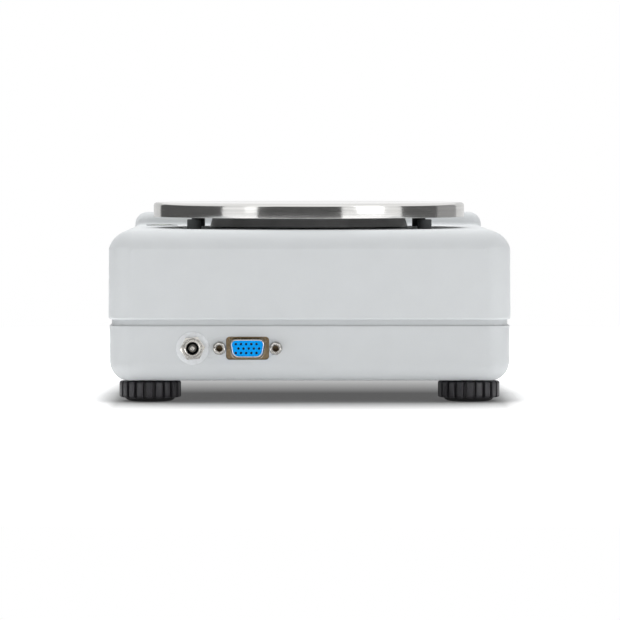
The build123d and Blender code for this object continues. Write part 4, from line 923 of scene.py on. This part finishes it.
def build_data_socket(scene):
    """Flange, drawn shell, blue insert and contacts of the data socket."""
    settings = scene.balance_sockets
    skin = 0.4 * MM
    chromate = plated_metal("socket_chromate", settings.chromate, 0.36, 0.01 * MM, 0.2)
    tin = plated_metal("socket_tin", TIN, 0.22, 0.006 * MM)
    blue = moulded_plastic("insert_blue", settings.blue, 0.6, 0.25 * MM, 0.004 * MM, 0.03, 0.08)
    # The contacts' gold is darkened as painted shade inside the insert's holes.
    gilt = plated_metal("contact_gilt_painted_shade", GILT_IN_PAINTED_SHADE, 0.5)
    dress_node("data_port_flange", chromate)
    dress_node("data_port_insert", blue)
    dress_node("data_port_contacts", gilt)
    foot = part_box("data_port_flange")[1].y
    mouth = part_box("data_port_shell")[1].y
    centre = middle("data_port_shell")
    stand = facing_rear(centre.x, 0, centre.z)
    shell = port_shell(size("data_port_shell").x, size("data_port_shell").z, foot, mouth, skin)
    finish_piece("socket_shell", moved(shell, stand), tin, "housing", ("data_port_shell",))
    finish_piece("socket_step", moved(socket_step(foot), stand), chromate, "housing")
    build_jackscrews(settings, centre)


def build_jackscrews(settings, centre):
    """Both jackscrews with their threads and washers, on either side of the socket's centre."""
    nickel = plated_metal("jackscrew_nickel", settings.nickel, 0.22, 0.006 * MM)
    # The threads and the disc at the bottom of each bore are brass darkened as painted shade of the bore.
    brown = plated_metal("jackscrew_thread", BRASS_BROWN_PAINTED_SHADE, 0.45, 0.01 * MM)
    zinc = plated_metal("jackscrew_washer_zinc", settings.washer, 0.38, 0.005 * MM)
    flats = 4.75 * MM
    bore = 1.28 * MM
    bore_room = 0.12 * MM
    thread_start = 0.8 * MM
    washer_hole = 1.75 * MM
    washer_low, washer_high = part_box("jackscrew_washers")
    face = washer_low.y
    thick = washer_high.y - face
    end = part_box("jackscrews")[1].y - face
    washer_radius = (washer_high.z - washer_low.z) / 2
    across = washer_high.x - washer_low.x - 2 * washer_radius
    screws = []
    threads = []
    washers = []
    for side in (-1, 1):
        spot = facing_rear(centre.x + side * across / 2, face, centre.z)
        screws.append(moved(jackscrew(flats, thick, end, bore + bore_room), spot))
        threads.append(moved(jackscrew_thread(bore, thick + thread_start), spot))
        washer = flat_washer(washer_hole, washer_radius, thick, 0.08 * MM, 0.2 * MM, 0.1 * MM, TURNED_STEPS)
        washers.append(moved(washer, spot))
    finish_piece("jackscrew_pair", merged(*screws), nickel, "housing", ("jackscrews",), FINE_CORNER)
    finish_piece("jackscrew_threads", merged(*threads), brown, "housing")
    finish_piece("washer_pair", merged(*washers), zinc, "housing", ("jackscrew_washers",))


def console_face(node):
    """Matrix on a node's outer face on the sloping console: X across, Y up the slope, Z out of it."""
    tolerance = 0.003 * MM
    normal = Vector((0, -math.sin(CONSOLE_SLOPE), math.cos(CONSOLE_SLOPE)))
    points = [v.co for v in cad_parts[node].data.vertices]
    reach = max(p.dot(normal) for p in points)
    outer = [p for p in points if p.dot(normal) > reach - tolerance]
    low = Vector([min(p[i] for p in outer) for i in range(3)])
    high = Vector([max(p[i] for p in outer) for i in range(3)])
    centre = (low + high) / 2
    centre += normal * (reach - centre.dot(normal))
    return Matrix.Translation(centre) @ Matrix.Rotation(CONSOLE_SLOPE, 4, "X")


def bar(length, width, thickness, point=0.0):
    """Flat bar along X, with its ends cut to a point by a share of its width."""
    bm = bmesh.new()
    bmesh.ops.create_cube(bm, size=1, matrix=Matrix.Diagonal((length, width, thickness, 1)))
    if point:
        upright = [e for e in bm.edges if abs(e.verts[0].co.z - e.verts[1].co.z) > thickness / 2]
        bevel_edges(bm, upright, width * point, 1)
    return bm


def turned(bm, angle, x=0.0, y=0.0):
    """Flat mark turned about Z and shifted."""
    return moved(bm, Matrix.Translation((x, y, 0)) @ Matrix.Rotation(angle, 4, "Z"))


def triangle(reach, thickness):
    """Flat triangle that points along X."""
    bm = bmesh.new()
    bmesh.ops.create_cone(bm, cap_ends=True, segments=3, radius1=reach, radius2=reach, depth=thickness,
                          matrix=Matrix.Rotation(-math.pi / 2, 4, "Z"))
    return bm


def flat_ring(inside, outside, ink):
    """Flat printed ring."""
    return spun_ring([(inside, -ink / 2), (outside, -ink / 2), (outside, ink / 2), (inside, ink / 2)],
                     TINY_STEPS)


def key_mark(number, height, ink):
    """Mark on one key: power, zero, menu, step back, step on and stop."""
    line = height * 0.16
    half = height / 2
    if number == 1:
        stroke = bar(half, line, ink * 1.2)
        return merged(flat_ring(half - line, half, ink), turned(stroke, math.pi / 2, 0, height * 0.3))
    if number == 2:
        return flat_ring(height * 0.34, height * 0.48, ink)
    if number == 3:
        return merged(*[turned(bar(height, line, ink), 0, 0, height * y) for y in (-0.35, 0, 0.35)])
    if number == 4:
        return turned(triangle(half, ink), math.pi)
    if number == 5:
        return triangle(half, ink)
    return bar(height * 0.8, height * 0.8, ink)


def display_digit(height, ink):
    """Seven segments of one place in the display."""
    width = height * 0.5
    line = height * 0.1
    gap = line * 0.9
    pointed = 0.48
    parts = [turned(bar(width - gap, line, ink, pointed), 0, 0, y) for y in (-height / 2, 0, height / 2)]
    for x in (-width / 2, width / 2):
        for y in (-height / 4, height / 4):
            parts.append(turned(bar(height / 2 - gap, line, ink, pointed), math.pi / 2, x, y))
    return merged(*parts)


def build_console(scene):
    """Display window, glass, digits, keys with their marks, and the bubble level."""
    settings = scene.balance_console
    window = clear_glass("window_clear", WINDOW_SMOKE, 0.06, 0.12)
    glass = clear_glass("display_face", settings.display_colour, 0.12, 1.0, 0.1)
    segment = moulded_plastic("display_segment", SEGMENT_GREY, 0.3, 0.3 * MM, 0.001 * MM, 0.03)
    cap = moulded_plastic("key_plastic", settings.key_colour, 0.48, 0.25 * MM, 0.008 * MM, 0.02)
    white = moulded_plastic("key_print", PRINT_WHITE, 0.5, 0.2 * MM, 0.001 * MM, 0.03)
    ink = 0.06 * MM
    smooth_copy("window_plate", "display_window", window, "housing")
    dress_node("display_glass", glass)
    pitch = settings.digit_height * 0.78
    first = -(settings.digits - 1) / 2 * pitch
    digits = merged(*[turned(display_digit(settings.digit_height, ink), 0, first + i * pitch)
                      for i in range(settings.digits)])
    finish_piece("display_digits", moved(digits, console_face("display_glass")), segment, "housing")
    for number, key in enumerate(KEYS, 1):
        smooth_copy(f"cap_{key}", key, cap, key)
        mark = key_mark(number, settings.mark_height, ink)
        finish_piece(f"mark_{key}", moved(mark, console_face(key)), white, key)
    build_level()


def build_level():
    """Bubble level: its cup, the liquid, the ring line and the bubble."""
    cup = moulded_plastic("level_cup_grey", CUP_GREY, 0.4, 0.3 * MM, 0.004 * MM, 0.04)
    liquid = lamp_liquid("level_liquid", LEVEL_GREEN)
    air = lamp_liquid("level_bubble", BUBBLE_GREEN)
    line = moulded_plastic("level_line", LINE_BLACK, 0.5, 0.2 * MM, 0.001 * MM, 0.03)
    line_width = 0.3 * MM
    line_height = 0.05 * MM
    bubble_height = 0.25 * MM
    smooth_copy("level_ring", "level_cup", cup, "housing")
    smooth_copy("level_body", "level_vial", liquid, "housing")
    centre = middle("level_vial")
    top = Matrix.Translation((centre.x, centre.y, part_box("level_vial")[1].z))
    inner = size("level_vial").x / 2 * 0.42
    outer = inner + line_width
    ring = spun_ring([(inner, 0), (outer, 0), (outer, line_height), (inner, line_height)], TINY_STEPS)
    finish_piece("level_mark", moved(ring, top), line, "housing")
    edge = inner * 0.78
    bubble = spun([(0, 0), (edge, 0), (edge, 0.12 * MM, 0.08 * MM), (inner * 0.5, 0.22 * MM, 0.2 * MM),
                   (0, bubble_height)], TINY_STEPS)
    finish_piece("level_bubble", moved(bubble, top), air, "housing")


def build_stage(scene):
    """Paper floor, white surroundings, soft lights and the camera."""
    settings = scene.balance_stage
    add_floor(settings)
    add_world(scene, settings)
    add_lamps()
    add_camera(scene, settings)
    scene.view_settings.view_transform = "Standard"


def seen_directly(tree):
    """One where a camera, glossy or transmission ray sees the surface, else zero."""
    path = add_node(tree, "ShaderNodeLightPath").outputs
    first = maths(tree, "MAXIMUM", path["Is Camera Ray"], path["Is Glossy Ray"])
    return maths(tree, "MAXIMUM", first, path["Is Transmission Ray"])


def stage_object(name, bm):
    """Object of the stage with an empty material, and that material's tree."""
    mesh = bpy.data.meshes.new(name)
    bm.to_mesh(mesh)
    bm.free()
    obj = bpy.data.objects.new(name, mesh)
    bpy.context.scene.collection.objects.link(obj)
    material = bpy.data.materials.new(name + "_surface")
    material.use_nodes = True
    material.node_tree.nodes.clear()
    mesh.materials.append(material)
    return obj, material.node_tree


def add_floor(settings):
    """Paper floor: one surface to the eye and in metal, and another as a light."""
    reach = 30.0
    bm = bmesh.new()
    bmesh.ops.create_grid(bm, x_segments=1, y_segments=1, size=reach)
    tree = stage_object("floor", bm)[1]
    place = add_node(tree, "ShaderNodeTexCoord").outputs["Object"]
    lit = paper_light(tree, place, settings)
    shown = paper_shown(tree, place, settings)
    pick = add_node(tree, "ShaderNodeMixShader", {0: seen_directly(tree), 1: lit, 2: shown})
    add_node(tree, "ShaderNodeOutputMaterial", {"Surface": pick.outputs[0]})


def paper_light(tree, place, settings):
    """White paper that also glows a little, and more in a belt round the balance."""
    fibre = noise(tree, place, 0.6 * MM, 3.0)
    matt = add_node(tree, "ShaderNodeBsdfDiffuse", {"Color": (0.9, 0.9, 0.9, 1),
                                                    "Normal": bump(tree, fibre, 0.01 * MM, 0.3)})
    split = add_node(tree, "ShaderNodeSeparateXYZ", {0: place}).outputs
    past_side = maths(tree, "SUBTRACT", maths(tree, "ABSOLUTE", split["X"]), cad_high.x)
    past_end = maths(tree, "SUBTRACT", maths(tree, "ABSOLUTE", split["Y"]), cad_high.y)
    clear = maths(tree, "MAXIMUM", past_side, past_end)
    inner = ramp(tree, clear, -0.01, 0.05, 0, settings.near_bounce)
    outer = ramp(tree, clear, 0.15, 0.4, 1, 0)
    around = maths(tree, "MULTIPLY_ADD", inner, outer, settings.bounce)
    glow = add_node(tree, "ShaderNodeEmission", {"Strength": around})
    return add_node(tree, "ShaderNodeAddShader", {0: matt.outputs[0], 1: glow.outputs[0]}).outputs[0]


def paper_shown(tree, place, settings):
    """Painted contact shadow near the balance, which fades into plain white further off: ambient occlusion
    and a darker strip along the rear wall are painted into the floor's colour, with painted light beside the
    balance and a painted glow under its front.
    """
    painted_light_beside_gain = 1.4
    painted_shadow_behind_gain = 0.6
    painted_glow_under_front = 0.37
    split = add_node(tree, "ShaderNodeSeparateXYZ", {0: place}).outputs
    across = maths(tree, "ABSOLUTE", split["X"])
    depth = split["Y"]
    rear = cad_high.y
    # Ambient occlusion painted into the floor's colour as painted contact shadow.
    near = add_node(tree, "ShaderNodeAmbientOcclusion", {"Distance": settings.contact}, samples=16)
    side = ramp(tree, across, cad_high.x - 4 * MM, cad_high.x + 8 * MM, 0, 1)
    # Painted shadow: the floor's colour is darker along the rear wall and under the balance, and brighter as
    # painted light beside it.
    behind = ramp(tree, depth, rear, rear + 0.12, settings.paper * painted_shadow_behind_gain, settings.paper)
    level = add_node(tree, "ShaderNodeMix", {0: side, 2: behind, 3: settings.paper * painted_light_beside_gain})
    shade = scaled(tree, near.outputs["Color"], level.outputs[0])
    lit = add_node(tree, "ShaderNodeBsdfDiffuse", {"Color": shade})
    # Painted glow: the floor under the balance glows, and more towards its front, as painted light that lifts
    # its shadow.
    deepest = settings.shadow_floor
    light = ramp(tree, depth, rear - 0.09, rear - 0.2, deepest, deepest + painted_glow_under_front)
    glow = add_node(tree, "ShaderNodeEmission", {"Strength": light})
    shown = add_node(tree, "ShaderNodeAddShader", {0: lit.outputs[0], 1: glow.outputs[0]})
    white = add_node(tree, "ShaderNodeEmission", {"Strength": 1.0})
    distance = add_node(tree, "ShaderNodeVectorMath", {0: place}, operation="LENGTH").outputs["Value"]
    far = ramp(tree, distance, 0.35, 0.8, 0, 1)
    blend = add_node(tree, "ShaderNodeMixShader", {0: far, 1: shown.outputs[0], 2: white.outputs[0]})
    return blend.outputs[0]


def add_world(scene, settings):
    """White to the eye and in metal, softer as a light."""
    world = bpy.data.worlds.new("studio")
    world.use_nodes = True
    scene.world = world
    tree = world.node_tree
    background = tree.nodes["Background"]
    background.inputs["Color"].default_value = (1, 1, 1, 1)
    plug(tree, background, Strength=ramp(tree, seen_directly(tree), 0, 1, settings.fill, 1))


def aim(obj, place, target):
    """Put an object at a place, looking at a target."""
    obj.location = place
    obj.rotation_euler = (Vector(target) - Vector(place)).to_track_quat("-Z", "Y").to_euler()


def add_lamp(name, place, width, height, radiance):
    """Rectangular soft lamp of a given brightness, aimed at the balance."""
    target = (0, 0.03, 0.05)
    light = bpy.data.lights.new(name, "AREA")
    light.shape = "RECTANGLE"
    light.size = width
    light.size_y = height
    light.energy = radiance * math.pi * width * height
    obj = bpy.data.objects.new(name, light)
    bpy.context.scene.collection.objects.link(obj)
    obj.visible_camera = False
    aim(obj, place, target)
    return obj


def card_angle(mirrored, radius, distance):
    """Where a ray that the pan's rim mirrors to an angle meets a card at a distance."""
    return mirrored - math.asin(radius / distance * math.sin(mirrored / 2))


def add_card(name, start, end, brightness):
    """Card that the pan's rim mirrors between two angles from the camera, seen only in reflections."""
    distance = 0.42
    height = 0.22
    steps = 24
    centre = middle("weighing_pan")
    radius = size("weighing_pan").x / 2
    first = card_angle(math.radians(start), radius, distance)
    last = card_angle(math.radians(end), radius, distance)
    bm = bmesh.new()
    place = Vector((centre.x - distance * math.sin(first), centre.y + distance * math.cos(first), 0))
    bottom = bm.verts.new(place)
    top = bm.verts.new(place + Vector((0, 0, height)))
    edge = bm.edges.new((bottom, top))
    bmesh.ops.spin(bm, geom=[bottom, top, edge], cent=(centre.x, centre.y, 0), axis=(0, 0, 1), dvec=(0, 0, 0),
                   angle=last - first, steps=steps, use_merge=False, use_duplicate=False)
    card, tree = stage_object(name, bm)
    cloth = add_node(tree, "ShaderNodeEmission", {"Color": (brightness,) * 3 + (1,)})
    add_node(tree, "ShaderNodeOutputMaterial", {"Surface": cloth.outputs[0]})
    card.visible_camera = False
    card.visible_diffuse = False
    card.visible_shadow = False
    card.visible_transmission = False


def add_lamps():
    """Overhead light, two softboxes behind the photographer, and the cards between them."""
    overhead = add_lamp("overhead", (0.1, -0.45, 1.9), width=2.4, height=2.4, radiance=2.5)
    overhead.visible_glossy = False
    add_lamp("softbox_right", (-1.9, 1.9, 0.75), width=1.0, height=1.6, radiance=1.6)
    add_lamp("softbox_left", (1.6, 2.0, 0.75), width=0.8, height=1.5, radiance=0.42)
    add_card("card_back_left", start=-178, end=-144, brightness=0.7)
    add_card("card_left", start=-144, end=-67, brightness=0.1)
    add_card("card_middle", start=-38.5, end=24, brightness=0.09)
    add_card("card_right", start=72, end=110, brightness=0.13)
    add_card("card_far_right", start=110, end=141, brightness=0.36)
    add_card("card_back_right", start=141, end=178, brightness=0.75)


def add_camera(scene, settings):
    """Camera at the photograph's place: behind the balance, a little above its pan."""
    picture_width = 620
    sockets_stand_out = 4.8 * MM
    aim_offset = -0.13 * MM
    rear = cad_high.y - sockets_stand_out
    data = bpy.data.cameras.new("camera")
    data.sensor_width = 36.0
    data.lens = settings.focal_pixels / picture_width * data.sensor_width
    data.clip_end = 100.0
    camera = bpy.data.objects.new("camera", data)
    scene.collection.objects.link(camera)
    aim(camera, (settings.camera_side, rear + settings.camera_distance, settings.camera_height),
        (aim_offset, rear, settings.aim_height))
    scene.camera = camera


class BalanceOperator:
    """What the operators share: build something and report it as finished."""

    bl_options = {"REGISTER", "UNDO"}

    def execute(self, context):
        self.build(context.scene)
        return {"FINISHED"}


class BALANCE_OT_housings(BalanceOperator, bpy.types.Operator):
    """Build the cover, the tray and the buffers on the deck."""

    bl_idname = "balance.housings"
    bl_label = "Housings"
    build = staticmethod(build_housings)


class BALANCE_OT_inner_parts(BalanceOperator, bpy.types.Operator):
    """Give the parts inside their finishes."""

    bl_idname = "balance.inner_parts"
    bl_label = "Inner parts"
    build = staticmethod(build_inner_parts)


class BALANCE_OT_pan(BalanceOperator, bpy.types.Operator):
    """Build the weighing pan."""

    bl_idname = "balance.pan"
    bl_label = "Weighing pan"
    build = staticmethod(build_pan)


class BALANCE_OT_support(BalanceOperator, bpy.types.Operator):
    """Build the pan support and its cushions."""

    bl_idname = "balance.support"
    bl_label = "Pan support"
    build = staticmethod(build_support)


class BALANCE_OT_feet(BalanceOperator, bpy.types.Operator):
    """Build the four levelling feet."""

    bl_idname = "balance.feet"
    bl_label = "Levelling feet"
    build = staticmethod(build_feet)


class BALANCE_OT_power_inlet(BalanceOperator, bpy.types.Operator):
    """Build the power inlet with its nut and washer."""

    bl_idname = "balance.power_inlet"
    bl_label = "Power inlet"
    build = staticmethod(build_power_inlet)


class BALANCE_OT_data_socket(BalanceOperator, bpy.types.Operator):
    """Build the data socket with its jackscrews."""

    bl_idname = "balance.data_socket"
    bl_label = "Data socket"
    build = staticmethod(build_data_socket)


class BALANCE_OT_console(BalanceOperator, bpy.types.Operator):
    """Build the display, the keys and the bubble level."""

    bl_idname = "balance.console"
    bl_label = "Console"
    build = staticmethod(build_console)


class BALANCE_OT_stage(BalanceOperator, bpy.types.Operator):
    """Build the floor, the surroundings, the lights and the camera."""

    bl_idname = "balance.stage"
    bl_label = "Stage"
    build = staticmethod(build_stage)


class BALANCE_PT_panel(bpy.types.Panel):
    """Sidebar panel with the balance's sizes, colours and builders."""

    bl_label = "Precision Balance"
    bl_idname = "BALANCE_PT_panel"
    bl_space_type = "VIEW_3D"
    bl_region_type = "UI"
    bl_category = "Balance"

    def draw(self, context):
        for name in SETTINGS:
            box = self.layout.box()
            group = getattr(context.scene, name)
            for field in group.__annotations__:
                box.prop(group, field)
        for operator in OPERATORS:
            self.layout.operator(operator.bl_idname)


SETTINGS = {
    "balance_housing": HousingSettings,
    "balance_pan": PanSettings,
    "balance_feet": FootSettings,
    "balance_sockets": SocketSettings,
    "balance_console": ConsoleSettings,
    "balance_stage": StageSettings,
}
OPERATORS = (
    BALANCE_OT_housings,
    BALANCE_OT_inner_parts,
    BALANCE_OT_pan,
    BALANCE_OT_support,
    BALANCE_OT_feet,
    BALANCE_OT_power_inlet,
    BALANCE_OT_data_socket,
    BALANCE_OT_console,
    BALANCE_OT_stage,
)


def register():
    for name, group in SETTINGS.items():
        bpy.utils.register_class(group)
        setattr(bpy.types.Scene, name, PointerProperty(type=group))
    for operator in OPERATORS:
        bpy.utils.register_class(operator)
    bpy.utils.register_class(BALANCE_PT_panel)


def unregister():
    bpy.utils.unregister_class(BALANCE_PT_panel)
    for operator in reversed(OPERATORS):
        bpy.utils.unregister_class(operator)
    for name, group in SETTINGS.items():
        delattr(bpy.types.Scene, name)
        bpy.utils.unregister_class(group)


def main():
    """Register the add-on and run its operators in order."""
    register()
    bpy.ops.balance.housings()
    bpy.ops.balance.inner_parts()
    bpy.ops.balance.pan()
    bpy.ops.balance.support()
    bpy.ops.balance.feet()
    bpy.ops.balance.power_inlet()
    bpy.ops.balance.data_socket()
    bpy.ops.balance.console()
    bpy.ops.balance.stage()


if __name__ == "__main__":
    main()
